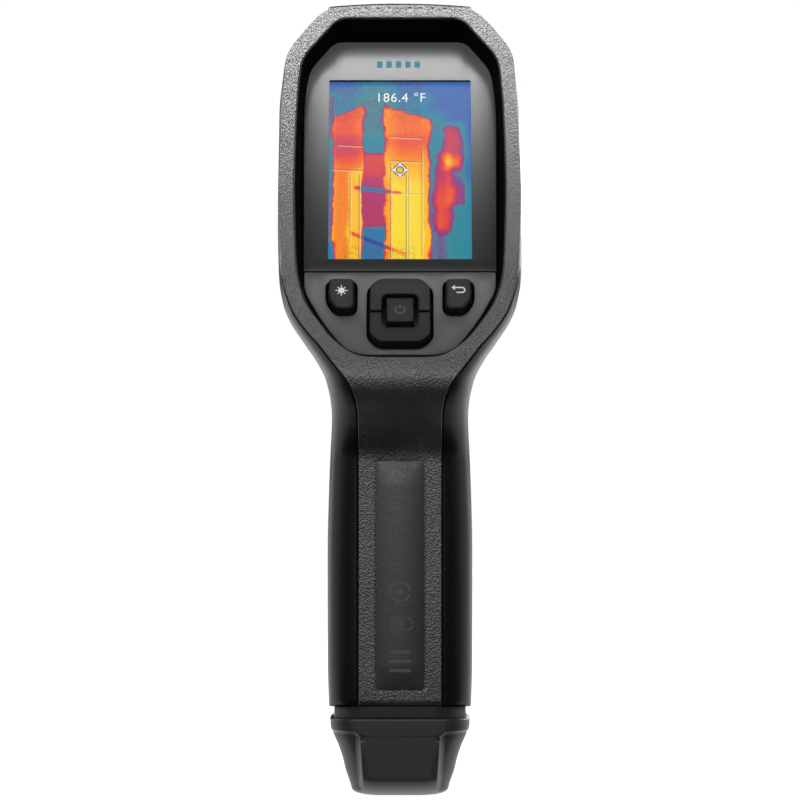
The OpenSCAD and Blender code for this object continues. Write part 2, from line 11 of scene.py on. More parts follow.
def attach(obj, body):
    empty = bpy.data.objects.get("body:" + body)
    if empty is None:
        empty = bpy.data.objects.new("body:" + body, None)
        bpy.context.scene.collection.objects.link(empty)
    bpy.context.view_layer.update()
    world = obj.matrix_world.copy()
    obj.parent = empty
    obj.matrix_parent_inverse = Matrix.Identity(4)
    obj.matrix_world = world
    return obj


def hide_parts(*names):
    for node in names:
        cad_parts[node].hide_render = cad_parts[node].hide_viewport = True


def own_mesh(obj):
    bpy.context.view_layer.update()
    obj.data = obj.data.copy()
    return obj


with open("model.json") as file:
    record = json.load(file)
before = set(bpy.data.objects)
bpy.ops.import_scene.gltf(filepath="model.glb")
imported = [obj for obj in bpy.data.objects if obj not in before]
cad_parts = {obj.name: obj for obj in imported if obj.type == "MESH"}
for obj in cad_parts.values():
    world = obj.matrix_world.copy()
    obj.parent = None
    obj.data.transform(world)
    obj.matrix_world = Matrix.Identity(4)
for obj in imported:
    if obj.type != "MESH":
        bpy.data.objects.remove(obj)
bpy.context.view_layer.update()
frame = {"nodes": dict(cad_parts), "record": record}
MM = 0.001

# ---------------------------------------------------------------- the form, in millimetres
RIM_TILT, SCREEN_TILT, PANEL_TILT, LEAN = 13, 16, 27, 1.76
SLANT_ANGLE = math.radians(8)
SLANT = math.tan(SLANT_ANGLE)
SPINE_Y = -21.6
HANDLE_END, CAP_END = 25.1, 21.6
TOP_Z = 207.0
TOP_ROUND = 0.8
GAP = 0.28
LIP = 1.6
ROLL_SHARE = 32


def smooth_table(table):
    """A monotone cubic through the stations of a table."""
    xs = np.array([r[0] for r in table], float)
    ys = np.array([r[1] for r in table], float)
    h = np.diff(xs)
    d = np.diff(ys) / h
    m = np.zeros(len(xs))
    m[0], m[-1] = d[0], d[-1]
    for i in range(1, len(xs) - 1):
        if d[i - 1] * d[i] > 0:
            a, b = 2 * h[i] + h[i - 1], h[i] + 2 * h[i - 1]
            m[i] = (a + b) / (a / d[i - 1] + b / d[i])

    def value(x):
        x = min(max(x, xs[0]), xs[-1])
        i = min(int(np.searchsorted(xs, x, side="right")) - 1, len(h) - 1)
        t = (x - xs[i]) / h[i]
        return float(
            (2 * t**3 - 3 * t**2 + 1) * ys[i]
            + (t**3 - 2 * t**2 + t) * h[i] * m[i]
            + (3 * t**2 - 2 * t**3) * ys[i + 1]
            + (t**3 - t**2) * h[i] * m[i + 1]
        )

    return value


body_half = smooth_table([
    (18, 18.2), (24, 18.6), (37, 19), (62, 19.1), (80, 18.7), (90, 18.3), (100, 17.8),
    (104, 18.1), (107, 18.7), (110, 19.6), (112.5, 20.9), (115, 22.4), (117.5, 24.2),
    (120, 25.9), (122.5, 27.6), (125, 29), (128, 30.2), (131, 30.9), (134, 31.4),
    (139, 31.7), (150, 31.95), (180, 31.95), (188, 31.2), (193.8, 30.2), (197, 28.8),
    (199.5, 26.9), (203.6, 23.5), (206.2, 20.7), (207.8, 17.8)])
cover_half = smooth_table([
    (18, 10.5), (100, 10.5), (103, 10.8), (106.5, 11.9), (109, 13.3), (112, 15.6), (115, 18),
    (118, 20.3), (121, 23.1), (124.5, 25.8), (127, 27.3), (130, 28.5), (134, 29.7),
    (138, 30.4), (148, 31), (158, 31.35), (172, 31), (182, 30.6), (190.5, 30.15),
    (193.8, 29.9), (197, 28.4), (199.5, 26.6), (203.6, 23.2), (206.2, 20.5), (207.8, 17.6)])
back_low = smooth_table([
    (18, -21.8), (24, -21.6), (89, -19.6), (92, -20.3), (96, -22.6), (100, -26), (104, -29.4),
    (107, -31), (110, -31.3), (113, -30.8), (116, -30)])
front_at = smooth_table([
    (18, 17.6), (24, 18.4), (62, 20.6), (90, 21), (104, 20), (118, 20), (131, 21.5),
    (136, 24), (139, 28), (143, 35), (147, 42), (150, 45.6), (155, 48), (165, 49), (196, 49),
    (199.5, 47.8), (203.6, 43), (206.2, 36), (207.8, 26)])
back_round = smooth_table([(18, 9), (90, 9), (104, 12), (112, 15), (125, 13), (134, 12), (207.8, 12)])
front_round = smooth_table([(18, 13), (104, 13), (131, 12), (150, 9), (165, 8), (207.8, 8)])
front_half = smooth_table([
    (18, 7), (104, 7.5), (118, 9), (131, 15), (139, 22), (150, 25.5), (190, 25.5), (197, 23),
    (203.6, 18), (207.8, 12)])
part_line = smooth_table([
    (134, -24), (136.7, -23.3), (139.3, -20.5), (143.4, -17.2), (149.2, -14.2), (154.2, -12.4),
    (159.1, -11.2), (205.3, -0.3), (208, 0.2)])


def back_at(z):
    """The y of the back face at one height."""
    if z < 116:
        return back_low(z)
    return -30 + (z - 116) * math.tan(math.radians(RIM_TILT))


def frame_at(origin, tilt):
    """x across, y up the face, z out towards the user."""
    return Matrix.Translation(origin) @ Matrix.Rotation(math.radians(90 - tilt), 4, "X")


ON_RIM = frame_at((0, -30, 116), RIM_TILT)
ON_SCREEN = frame_at((0, -18, 138), SCREEN_TILT)
ON_PANEL = frame_at((0, -19, 138.2), PANEL_TILT)
ON_SPINE = frame_at((0, SPINE_Y, 24), LEAN)
FACING_FRONT = Matrix.Rotation(math.radians(-90), 4, "X")


def at(matrix, x, y, z=0.0):
    return matrix @ Vector((x, y, z))


def on_face(matrix, z):
    """Puts flat points on a frame, z above it."""
    return lambda x, y: at(matrix, x, y, z)


def level(z):
    """Puts flat points at one height."""
    return lambda x, y: Vector((x, y, z))


def ease(t):
    """From 0 to 1 with a soft start and end."""
    t = min(max(t, 0), 1)
    return t * t * (3 - 2 * t)


def bend(a, b, c, t):
    """One point of the curve from a to c that b pulls towards itself."""
    return a * (1 - t) ** 2 + b * 2 * t * (1 - t) + c * t**2


# ---------------------------------------------------------------- mesh kit
WELD = 0.0015  # points closer than this become one
SLIVER = 1e-9  # faces smaller than this go
SHARP = math.radians(38)  # edges that turn more than this stay sharp


def new_piece(name, bm, slot, material, body="housing", replaces=(), flat=False, closed=True):
    """Turn a bmesh in millimetres into a named piece."""
    bmesh.ops.remove_doubles(bm, verts=bm.verts, dist=WELD)
    if closed:
        bmesh.ops.recalc_face_normals(bm, faces=bm.faces)
    thin = [f for f in bm.faces if f.calc_area() < SLIVER]
    bmesh.ops.delete(bm, geom=thin, context="FACES_ONLY")
    bmesh.ops.scale(bm, vec=(MM, MM, MM), verts=bm.verts)
    mesh = bpy.data.meshes.new(name)
    bm.to_mesh(mesh)
    bm.free()
    obj = bpy.data.objects.new(name, mesh)
    bpy.context.scene.collection.objects.link(obj)
    if not flat:
        mesh.shade_smooth()
        mesh.set_sharp_from_angle(angle=SHARP)
    for m in material if isinstance(material, (list, tuple)) else [material]:
        mesh.materials.append(m)
    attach(obj, body)
    if replaces:
        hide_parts(*replaces)
    return obj


def skin_piece(name, bm, outward, *args, thickness=0.6, **kw):
    """An open skin whose normals are made to face outward, thickened inwards."""
    bmesh.ops.remove_doubles(bm, verts=bm.verts, dist=WELD)
    bmesh.ops.recalc_face_normals(bm, faces=bm.faces)
    probe, direction = outward
    near = min(bm.faces, key=lambda f: (f.calc_center_median() - Vector(probe)).length_squared)
    if near.normal.dot(Vector(direction)) < 0:
        bmesh.ops.reverse_faces(bm, faces=bm.faces)
    obj = new_piece(name, bm, *args, closed=False, **kw)
    wall = obj.modifiers.new("wall", "SOLIDIFY")
    wall.thickness = thickness * MM
    wall.offset = -1
    even = obj.modifiers.new("even_normals", "WEIGHTED_NORMAL")
    even.keep_sharp = True
    return obj


def grid(bm, rows, closed=False, material=0):
    """Quads between rows of points."""
    made = [[bm.verts.new(p) for p in row] for row in rows]
    for a, b in zip(made, made[1:]):
        n = len(a)
        for i in range(n if closed else n - 1):
            j = (i + 1) % n
            f = bm.faces.new((a[i], a[j], b[j], b[i]))
            f.material_index = material
    return made


def inside(points, loop):
    """Which points lie inside a loop, by crossings."""
    p = np.asarray(points, float)
    q = np.asarray(loop, float)
    hit = np.zeros(len(p), bool)
    for (x0, y0), (x1, y1) in zip(q, np.roll(q, -1, axis=0)):
        if y0 == y1:
            continue
        cross = ((y0 > p[:, 1]) != (y1 > p[:, 1])) & (
            p[:, 0] < (x1 - x0) * (p[:, 1] - y0) / (y1 - y0) + x0)
        hit ^= cross
    return hit


def far_from(points, loop, gap):
    """Which points lie further than gap from a loop."""
    p = np.asarray(points, float)
    q = np.asarray(loop, float)
    keep = np.ones(len(p), bool)
    for a, b in zip(q, np.roll(q, -1, axis=0)):
        d = b - a
        t = np.clip(((p - a) @ d) / max(d @ d, 1e-12), 0, 1)
        keep &= np.hypot(*(p - a - t[:, None] * d).T) > gap
    return keep


def patch(bm, outer, holes, extra, place, gap=0.5, material=0):
    """Triangles over a plane region with holes, each point put in place by place(x, y)."""
    loops = [outer, *holes]
    extra = np.asarray(extra, float).reshape(-1, 2)
    if len(extra):
        keep = inside(extra, outer)
        for h in holes:
            keep &= ~inside(extra, h)
        for loop in loops:
            keep &= far_from(extra, loop, gap)
        extra = extra[keep]
    points, edges = [], []
    for loop in loops:
        start = len(points)
        points += [Vector(p) for p in loop]
        edges += [(start + i, start + (i + 1) % len(loop)) for i in range(len(loop))]
    points += [Vector(p) for p in extra]
    found = delaunay_2d_cdt(points, edges, [], 0, 1e-7)
    verts, faces = found[0], found[2]
    middles = np.array([[sum(verts[i][k] for i in f) / len(f) for k in (0, 1)] for f in faces])
    keep = inside(middles, outer)
    for h in holes:
        keep &= ~inside(middles, h)
    made = {}
    for f, k in zip(faces, keep):
        if not k:
            continue
        for i in f:
            if i not in made:
                made[i] = bm.verts.new(place(verts[i][0], verts[i][1]))
        g = bm.faces.new([made[i] for i in f])
        g.material_index = material


def soften(points, cuts, n=5, closed=True):
    """Round the corners of a polygon: each corner becomes a short curve that starts cut before it."""
    out = []
    count = len(points)
    for i, p in enumerate(points):
        if not closed and i in (0, count - 1):
            out.append(tuple(p))
            continue
        p = Vector(p)
        a = Vector(points[i - 1])
        b = Vector(points[(i + 1) % count])
        cut = cuts[i] if isinstance(cuts, (list, tuple)) else cuts
        la, lb = (a - p).length, (b - p).length
        ca, cb = min(cut, la * 0.499), min(cut, lb * 0.499)
        s, e = p + (a - p) * (ca / la), p + (b - p) * (cb / lb)
        for k in range(n + 1):
            t = k / n
            out.append(tuple(bend(s, p, e, t)))
    return out


def spread(points, step, closed=True):
    """Points along a polyline no further apart than step, its own points kept."""
    out = []
    n = len(points)
    for i in range(n if closed else n - 1):
        a, b = Vector(points[i]), Vector(points[(i + 1) % n])
        k = max(1, math.ceil((b - a).length / step))
        out += [tuple(a + (b - a) * (j / k)) for j in range(k)]
    if not closed:
        out.append(tuple(points[-1]))
    return out


def normals_of(loop, closed=True):
    """Outward normals of a loop that runs anticlockwise."""
    n = len(loop)
    out = []
    for i in range(n):
        a = Vector(loop[i - 1] if closed or i else loop[0])
        b = Vector(loop[(i + 1) % n] if closed or i < n - 1 else loop[-1])
        d = (b - a).normalized()
        out.append(Vector((d.y, -d.x)))
    return out


def anticlockwise(loop):
    """The loop, turned round if it runs clockwise."""
    area = sum(a[0] * b[1] - b[0] * a[1] for a, b in zip(loop, loop[1:] + loop[:1]))
    return loop if area > 0 else loop[::-1]


def grown(loop, by):
    """A loop moved outward by a distance."""
    return [tuple(Vector(p) + n * by) for p, n in zip(loop, normals_of(loop))]


def other_side(rows):
    """The same rows on the left."""
    return [[Vector((-p.x, p.y, p.z)) for p in row] for row in rows]


def mirrored(half):
    """The right half of an outline with its left half added."""
    return [tuple(p) for p in half] + [(-x, y) for x, y in reversed(half)]


def cleaned(loop, gap=0.03):
    """Drop points that sit on top of the one before."""
    out = []
    for p in loop:
        if not out or (Vector(p) - Vector(out[-1])).length > gap:
            out.append(tuple(p))
    while (Vector(out[0]) - Vector(out[-1])).length <= gap:
        out.pop()
    return out


def soft_loop(points, cuts, n=5):
    """A polygon with rounded corners, anticlockwise."""
    return cleaned(anticlockwise(soften(points, cuts, n)))


def rounded_box(w, h, r, n=8, cx=0.0, cy=0.0):
    """A rectangle of w by h whose corners have radius r."""
    out = []
    for sx, sy, a0 in ((1, 1, 0), (-1, 1, 90), (-1, -1, 180), (1, -1, 270)):
        for k in range(n + 1):
            a = math.radians(a0 + 90 * k / n)
            out.append((cx + sx * (w / 2 - r) + r * math.cos(a),
                        cy + sy * (h / 2 - r) + r * math.sin(a)))
    return out


def circle(r, n=48, cx=0.0, cy=0.0):
    """A circle of n points."""
    return [(cx + r * math.cos(2 * math.pi * k / n), cy + r * math.sin(2 * math.pi * k / n))
            for k in range(n)]


def prism(bm, loop, z0, z1, matrix, top=0.4, bottom=0.0, steps=4, material=0, caps=True):
    """A plate with rounded upper and lower edges: rings of the outline, then the flat faces."""
    loop = anticlockwise(list(loop))

    def ring(inset, z):
        return [at(matrix, x, y, z) for x, y in grown(loop, -inset)]

    rows = []
    if bottom > 0:
        for k in range(steps + 1):
            a = math.radians(90 * k / steps)
            rows.append(ring(bottom * (1 - math.sin(a)), z0 + bottom * (1 - math.cos(a))))
    else:
        rows.append(ring(0, z0))
    if top > 0:
        for k in range(steps + 1):
            a = math.radians(90 * k / steps)
            rows.append(ring(top * (1 - math.cos(a)), z1 - top + top * math.sin(a)))
    else:
        rows.append(ring(0, z1))
    made = grid(bm, rows, closed=True, material=material)
    if caps:
        for inset, z in ((top, z1), (bottom, z0)):
            patch(bm, grown(loop, -inset), [], [], on_face(matrix, z), material=material)
    return made


def lathe(bm, profile, matrix, n=64, material=0):
    """Turn (radius, height) points round the frame's z axis."""
    rows = []
    for r, z in profile:
        r = max(r, 1e-4)
        rows.append([at(matrix, r * math.cos(2 * math.pi * k / n),
                        r * math.sin(2 * math.pi * k / n), z) for k in range(n)])
    return grid(bm, rows, closed=True, material=material)


# ---------------------------------------------------------------- sections of the body
BACK_STEPS, ROLL_STEPS = 24, 14
PART_SWING = (133, 7.5)  # where the parting line leaves the handle's corner, and over what height


def side_line(z, inset=0.0):
    """The right side of one level, from the back's flat to the front's."""
    w = body_half(z) - inset
    wc = min(cover_half(z), body_half(z) - 0.4) - inset
    yb, yf = back_at(z) + inset, front_at(z) - inset
    db, df = back_round(z) - inset, front_round(z) - inset
    wf = front_half(z) - inset
    line = []
    for k in range(BACK_STEPS + 1):
        a = math.radians(90 * k / BACK_STEPS)
        line.append((wc + (w - wc) * math.sin(a), yb + db * (1 - math.cos(a))))
    for k in range(ROLL_STEPS + 1):
        a = math.radians(ROLL_SHARE * k / ROLL_STEPS)
        line.append((wf + (w - wf) * math.cos(a), yf - df * (1 - math.sin(a))))
    return np.array(line)


def along(line, stops):
    """Points at given lengths along a polyline."""
    seg = np.hypot(*np.diff(line, axis=0).T)
    s = np.concatenate(([0], np.cumsum(seg)))
    return [(float(np.interp(t, s, line[:, 0])), float(np.interp(t, s, line[:, 1]))) for t in stops]


def length_of(line):
    """The length of a polyline."""
    return float(np.hypot(*np.diff(line, axis=0).T).sum())


def part_length(z, line):
    """How far along the side the two shells meet."""
    s = np.concatenate(([0], np.cumsum(np.hypot(*np.diff(line, axis=0).T))))
    x_cut = min(cover_half(z), 29.6) + 0.37
    corner = slice(0, BACK_STEPS + 1)
    by_x = float(np.interp(x_cut, line[corner, 0], s[corner]))
    start, reach = PART_SWING
    if z < start:
        return by_x
    by_y = float(np.interp(part_line(z), line[:, 1], s))
    t = ease((z - start) / reach)
    return by_x * (1 - t) + max(by_y, by_x) * t


ROWS = list(np.concatenate((
    np.linspace(HANDLE_END, 90, 48), np.linspace(91.2, 140, 48), np.linspace(141.4, 194, 38),
    np.linspace(195, TOP_Z, 16))))


def shear(y, z):
    """The lower end of the handle falls towards the front."""
    away = min(max((y - back_at(z)) / 6, 0), 1)
    return -SLANT * (y - SPINE_Y) * ease(1 - (z - HANDLE_END) / 30) * away


def level_up(points, z):
    """Points of one section at their height, with the handle's slant."""
    return [Vector((x, y, z + shear(y, z))) for x, y in points]


def top_rows():
    """Inset and height of the rows that round the top edge."""
    out = []
    for k in range(1, 6):
        a = math.radians(90 * k / 5)
        out.append((TOP_ROUND * (1 - math.cos(a)), TOP_Z + TOP_ROUND * math.sin(a)))
    return out


CROWN, CROWN_HALF, CROWN_FROM = 0.92, 19.5, 206.6
CROWN_FRONT, CROWN_RUN = 11, 8  # the y where the arch has run out, and the length it takes


def crown_top(bm):
    """Arch the top of the head a little from side to side, running out towards the front."""
    cuts = [((1.5 * k, 0, 0), (1, 0, 0)) for k in range(-12, 13)]
    cuts += [((0, 1.6 * k, 0), (0, 1, 0)) for k in range(1, 8)]
    for place, normal in cuts:
        faces = [f for f in bm.faces if min(v.co.z for v in f.verts) > CROWN_FROM - 0.6]
        edges = {e for f in faces for e in f.edges}
        verts = {v for f in faces for v in f.verts}
        bmesh.ops.bisect_plane(bm, geom=[*verts, *edges, *faces], dist=1e-4, plane_co=place,
                               plane_no=normal)
    for v in bm.verts:
        lift = min(max((v.co.z - CROWN_FROM) / (TOP_Z + TOP_ROUND - CROWN_FROM), 0), 1)
        across = max(0.0, 1 - (v.co.x / CROWN_HALF) ** 2)
        v.co.z += CROWN * lift * across * ease((CROWN_FRONT - v.co.y) / CROWN_RUN)


# ---------------------------------------------------------------- the well's outlines
RIM_POINTS = [
    (16.1, 91), (25.7, 79.8), (26.9, 68), (27.4, 50), (27.4, 41), (26.8, 24.6), (26.1, 19.3),
    (24.35, 14), (22.8, 11.3), (18.9, 6), (16.6, 3.4), (13.2, 0.9), (9.7, -0.8), (0, -0.8)]
FLOOR_POINTS = [
    ("s", 17.4, 64.2), ("s", 24.1, 56), ("s", 25.6, 46), ("s", 25.4, 27.8), ("s", 25.3, 18.7),
    ("s", 25.13, 2.05), ("p", 24.9, -3.8), ("p", 23.4, -9.6), ("p", 21.85, -12.6),
    ("p", 18.26, -18.4), ("p", 16.3, -21.2), ("p", 13.6, -23.9), ("p", 9.7, -25.5),
    ("p", 0, -25.5)]
WELL_CUTS = [2.6, 3.2] + [50] * 12


def well_lines():
    """The right half of the opening on the rim, and of the line where its wall meets the floor."""
    rim = [Vector((x, y, 0)) for x, y in RIM_POINTS]
    floor = [at(ON_SCREEN if f == "s" else ON_PANEL, x, y, -1.4) for f, x, y in FLOOR_POINTS]
    out = []
    for points in (rim, floor):
        whole = [Vector((0, points[0].y, points[0].z)), *points]
        out.append([Vector(p) for p in soften(whole, [0, *WELL_CUTS], n=6, closed=False)])
    fine = [[], []]
    for i in range(len(out[0]) - 1):
        a, b = out[0][i], out[0][i + 1]
        if (b - a).length < 0.03:
            continue
        k = max(1, math.ceil((b - a).length / 1.2))
        for j in range(k):
            for side in (0, 1):
                p, q = out[side][i], out[side][i + 1]
                fine[side].append(p + (q - p) * (j / k))
    fine[0].append(out[0][-1])
    fine[1].append(out[1][-1])
    return fine


# ---------------------------------------------------------------- rear cover
LABEL = (12.9, 59.5, 34.65)
EDGE_ROUND, WELL_ROUND = 0.3, 0.55
SEAT = (9.2, -5.3, 11.7, 206.6)


def part_edge(line, stop):
    """The edge of a shell at the parting line, the way along the side there, and the way inward."""
    a, b = along(line, [stop - 0.05, stop + 0.05])
    t = (Vector(b) - Vector(a)).normalized()
    return Vector(along(line, [stop])[0]), t, Vector((-t.y, t.x))


def cover_edge(z, inset=0.0):
    """The side of the rear cover at one level: out to the parting line and round into it."""
    line = side_line(z, inset)
    stop = part_length(z, line)
    r = EDGE_ROUND
    points = along(line, np.linspace(0, max(stop - r, 0.02), 9))
    edge, _, inward = part_edge(line, stop)
    start = Vector(points[-1])
    for k in range(1, 5):
        points.append(tuple(bend(start, edge, edge + inward * r, k / 4)))
    points.append(tuple(edge + inward * LIP))
    return points


def well_wall(bm):
    """The opening's rounded edge and its wall down to the floor. Returns the edge's outline."""
    rim, floor = well_lines()
    wall = []
    hole = []
    count = len(rim)
    for i in range(count):
        a, b = rim[max(i - 1, 0)], rim[min(i + 1, count - 1)]
        d = (b - a).normalized()
        out = Vector((-d.y, d.x, 0))
        if i == 0:
            out = Vector((0, 1, 0))
        if i == count - 1:
            out = Vector((0, -1, 0))
        corner = ON_RIM @ rim[i]
        foot = floor[i]
        down = (foot - corner).normalized()
        r = WELL_ROUND
        first = ON_RIM @ (rim[i] + out * r)
        first.y = back_at(first.z)
        line = []
        for k in range(6):
            t = k / 5
            line.append(bend(first, corner, corner + down * r, t))
        for t in (0.3, 0.6, 1.0):
            line.append(corner + down * (r + ((foot - corner).length - r) * t))
        wall.append(line)
        hole.append((first.x, first.z))
    for side in (wall, other_side(wall)):
        grid(bm, [line[:6] for line in side])
        # painted shade: the wall below the rounded edge takes the second material, near-black and nearly
        # without shine
        grid(bm, [line[5:] for line in side], material=1)
    return hole + [(-x, z) for x, z in hole[-2:0:-1]]


def label_recess(bm):
    """The shallow recess for the label. Returns its outline on the back face."""
    lw, lh, lm = LABEL
    lean = math.cos(math.radians(LEAN))
    label_loop = rounded_box(lw + 0.3, lh + 0.3, 1.2, 6, 0, lm)
    label_loop = spread(label_loop, 1.4)
    label_hole = [(x, 24 + v * lean) for x, v in label_loop]
    inner_loop = [tuple(Vector(p) - n * 0.15) for p, n in zip(label_loop, normals_of(label_loop))]
    rings = [[Vector((x, back_at(24 + v * lean), 24 + v * lean)) for x, v in label_loop]]
    middle_loop = [tuple((Vector(p) + Vector(q)) / 2) for p, q in zip(label_loop, inner_loop)]
    for depth, loop in ((-0.06, middle_loop), (-0.2, inner_loop), (-0.5, inner_loop)):
        rings.append([at(ON_SPINE, x, v, depth) for x, v in loop])
    made = grid(bm, rings, closed=True)
    bm.faces.new(made[-1])
    return label_hole


def face_outline(right, top_x, bottom_x):
    """The outline of a whole face from its right side and the steps along its ends."""
    outer = right + [(x, ROWS[-1]) for x in top_x[1:]]
    return outer + [(-x, z) for x, z in right[-2::-1]] + [(x, ROWS[0]) for x in bottom_x[1:-1]]


def flap_seat(bm, ring, cut, far_y, z):
    """The top of a shell round its half of the flap's seat, and the seat's walls."""
    sx, sz = SEAT[0], SEAT[3]
    seat = [(-sx, cut), (-sx, far_y), (sx, far_y), (sx, cut)]
    patch(bm, ring + seat, [], [], level(z))
    grid(bm, [[Vector((x, y, h)) for x, y in seat] for h in (z, sz)])
    return seat


def rear_cover(material):
    """The rear shell: back face, well for the screen and keys, label recess and corners."""
    bm = bmesh.new()
    holes = [well_wall(bm), label_recess(bm)]
    right = [(min(cover_half(z), body_half(z) - 0.4), z) for z in ROWS]
    top_x = [right[-1][0] * k / 12 for k in range(12, -13, -1)]
    bottom_x = [right[0][0] * k / 10 for k in range(-10, 11)]
    extra = [(x, z) for z in ROWS for x in np.arange(-28, 28.1, 1.75 if z < 120 else 3.5)]
    patch(bm, face_outline(right, top_x, bottom_x), holes, extra,
          lambda x, z: Vector((x, back_at(z), z)), gap=0.55)

    # round the corners to the parting line, both sides, and over the top edge
    rows = [level_up(cover_edge(z), z) for z in ROWS]
    over = [[Vector((x, y, z)) for x, y in cover_edge(TOP_Z, inset)]
            for inset, z in top_rows()]
    rows += over
    grid(bm, rows)
    grid(bm, other_side(rows))
    edges = [[Vector((x, back_at(TOP_Z), TOP_Z)) for x in top_x]]
    for (inset, z), row in zip(top_rows(), over):
        edges.append([Vector((row[0].x * k / 12, row[0].y, z)) for k in range(12, -13, -1)])
    grid(bm, edges)

    # the top, as far as the parting line, with the back half of the flap's seat
    half = [(p.x, p.y) for p in over[-1][:13]]
    back = [(p.x, p.y) for p in edges[-1]]
    ring = half[::-1] + back[1:-1] + [(-x, y) for x, y in half]
    seat = flap_seat(bm, ring, half[-1][1], SEAT[1], over[-1][0].z)
    bm.faces.new([bm.verts.new((x, y, SEAT[3])) for x, y in seat[::-1]])
    crown_top(bm)
    return skin_piece("rear_cover_shell", bm, ((0, -21, 40), (0, -1, 0)), "cover_plastic", material,
                      replaces=["rear_cover"])


# ---------------------------------------------------------------- front body
BEZEL_Z, LENS_Z, LAMP_Z, FRONT_Y = 177, 186, 161, 49.2
SIDE_X = 17.5  # the camera's and the laser's distance from the middle
TRIGGER_SLOT = (15.8, 31, 121.5)
GRIP = (30, 61, 63, 6.5)
SCREWS = [(26.9, 186), (27.2, 145.4), (11.4, 98.6)]
BOTH_SCREWS = [(side * x, z) for side in (-1, 1) for x, z in SCREWS]
SCREW_SEAT = 12


def body_edge(z, inset=0.0):
    """The side of the front body at one level: from inside the parting line to the front roll."""
    line = side_line(z, inset)
    stop = part_length(z, line) + GAP
    r = EDGE_ROUND
    edge, t, inward = part_edge(line, stop)
    later = along(line, np.linspace(stop + r, length_of(line), 26))
    start = Vector(later[0])
    tongue = edge + inward * (LIP + 0.4)
    points = [tuple(tongue - t * 1.2), tuple(tongue)]
    for k in range(4, 0, -1):
        points.append(tuple(bend(start, edge, edge + inward * r, k / 4)))
    return points + later


def front_surface(x, z):
    """The point of the front face over x and z."""
    wf, w = front_half(z), body_half(z)
    yf, df = front_at(z), front_round(z)
    over = abs(x) - wf
    if over <= 0:
        y = yf
    else:
        y = yf - df * (1 - math.sqrt(max(0.0, 1 - (over / (w - wf)) ** 2)))
    return Vector((x, y, z + shear(y, z)))


def hole_wall(bm, loop, surface, depth, r=0.3):
    """Rounded edge and wall of a hole cut along y. Returns the loop where the face round it ends."""
    loop = anticlockwise(list(loop))
    first = grown(loop, r)
    rows = []
    for k in range(5):
        t = k / 4
        row = []
        for p, q in zip(first, loop):
            corner = surface(*q)
            row.append(bend(surface(*p), corner, corner + Vector((0, -r, 0)), t))
        rows.append(row)
    rows.append([surface(*q) + Vector((0, -depth, 0)) for q in loop])
    grid(bm, rows, closed=True)
    return first


def front_body(material):
    """The front shell: sides, front with its openings, and top."""
    bm = bmesh.new()
    rows = [level_up(body_edge(z), z) for z in ROWS]
    over = [[Vector((x, y, z)) for x, y in body_edge(TOP_Z, inset)]
            for inset, z in top_rows()]
    grid(bm, rows + over)
    grid(bm, other_side(rows + over))

    # the front, with its openings
    edge = [rows[i][-1] for i in range(len(ROWS))]
    right = [(p.x, z) for p, z in zip(edge, ROWS)]
    top_x = [right[-1][0] * k / 12 for k in range(12, -13, -1)]
    bottom_x = [right[0][0] * k / 12 for k in range(-12, 13)]
    outer = face_outline(right, top_x, bottom_x)
    holes = []
    tw, th, tz = TRIGGER_SLOT
    slot = spread(rounded_box(tw, th, 1.6, 5, 0, tz), 1.2)
    holes.append(hole_wall(bm, slot, front_surface, 9, 0.6))
    recess = spread(rounded_box(50.6, 46.6, 8.3, 8, 0, BEZEL_Z), 1.6)
    holes.append(hole_wall(bm, recess, front_surface, 5.5, 0.35))
    gw, gh, gz, gr = GRIP
    seat = spread(rounded_box(gw + 0.3, gh + 0.3, gr, 8, 0, gz), 1.4)
    holes.append(hole_wall(bm, seat, front_surface, 1.5, 0.3))
    inner = [(x, z) for z in ROWS for x in np.arange(-14, 14.1, 2.0)]
    patch(bm, anticlockwise(seat), [], inner,
          lambda x, z: front_surface(x, z) + Vector((0, -1.5, 0)))
    for x, z in BOTH_SCREWS:
        depth = front_surface(x, z).y - SCREW_SEAT
        holes.append(hole_wall(bm, circle(2.3, 28, x, z), front_surface, depth, 0.25))
    extra = [(x, z) for z in ROWS for x in np.arange(-30, 30.1, 2.0)]
    patch(bm, outer, holes, extra, front_surface, gap=0.6)

    # the top edge and the top, with the front half of the flap's seat
    edges = [[front_surface(x, TOP_Z) for x in top_x]]
    for inset, z in top_rows():
        row = body_edge(TOP_Z, inset)
        x1, _ = row[-1]
        wf, w = front_half(TOP_Z) - inset, body_half(TOP_Z) - inset
        yf, df = front_at(TOP_Z) - inset, front_round(TOP_Z) - inset
        line = []
        for k in range(12, -13, -1):
            x = x1 * k / 12
            reach = max(0.0, abs(x) - wf)
            y = yf - df * (1 - math.sqrt(max(0.0, 1 - (reach / (w - wf)) ** 2))) if reach else yf
            line.append(Vector((x, y, z)))
        edges.append(line)
    grid(bm, edges)
    sx, _, sy, sz = SEAT
    half = [(p.x, p.y) for p in over[-1][2:]]
    cut = half[0][1]
    ring = half + [(p.x, p.y) for p in edges[-1][1:-1]] + [(-x, y) for x, y in half[::-1]]
    flap_seat(bm, ring, cut, sy, over[-1][0].z)
    port = spread(slot_loop(9.6, 3.8, 0, 6), 1.2)
    floor = [(-sx, cut), (sx, cut), (sx, sy), (-sx, sy)]
    patch(bm, floor, [port], [], level(sz))
    grid(bm, [[Vector((x, y, h)) for x, y in port] for h in (sz, sz - 3)], closed=True)
    crown_top(bm)
    return skin_piece("front_body_shell", bm, ((0, 20.5, 63), (0, 1, 0)), "body_plastic", material,
                      replaces=["front_body"])


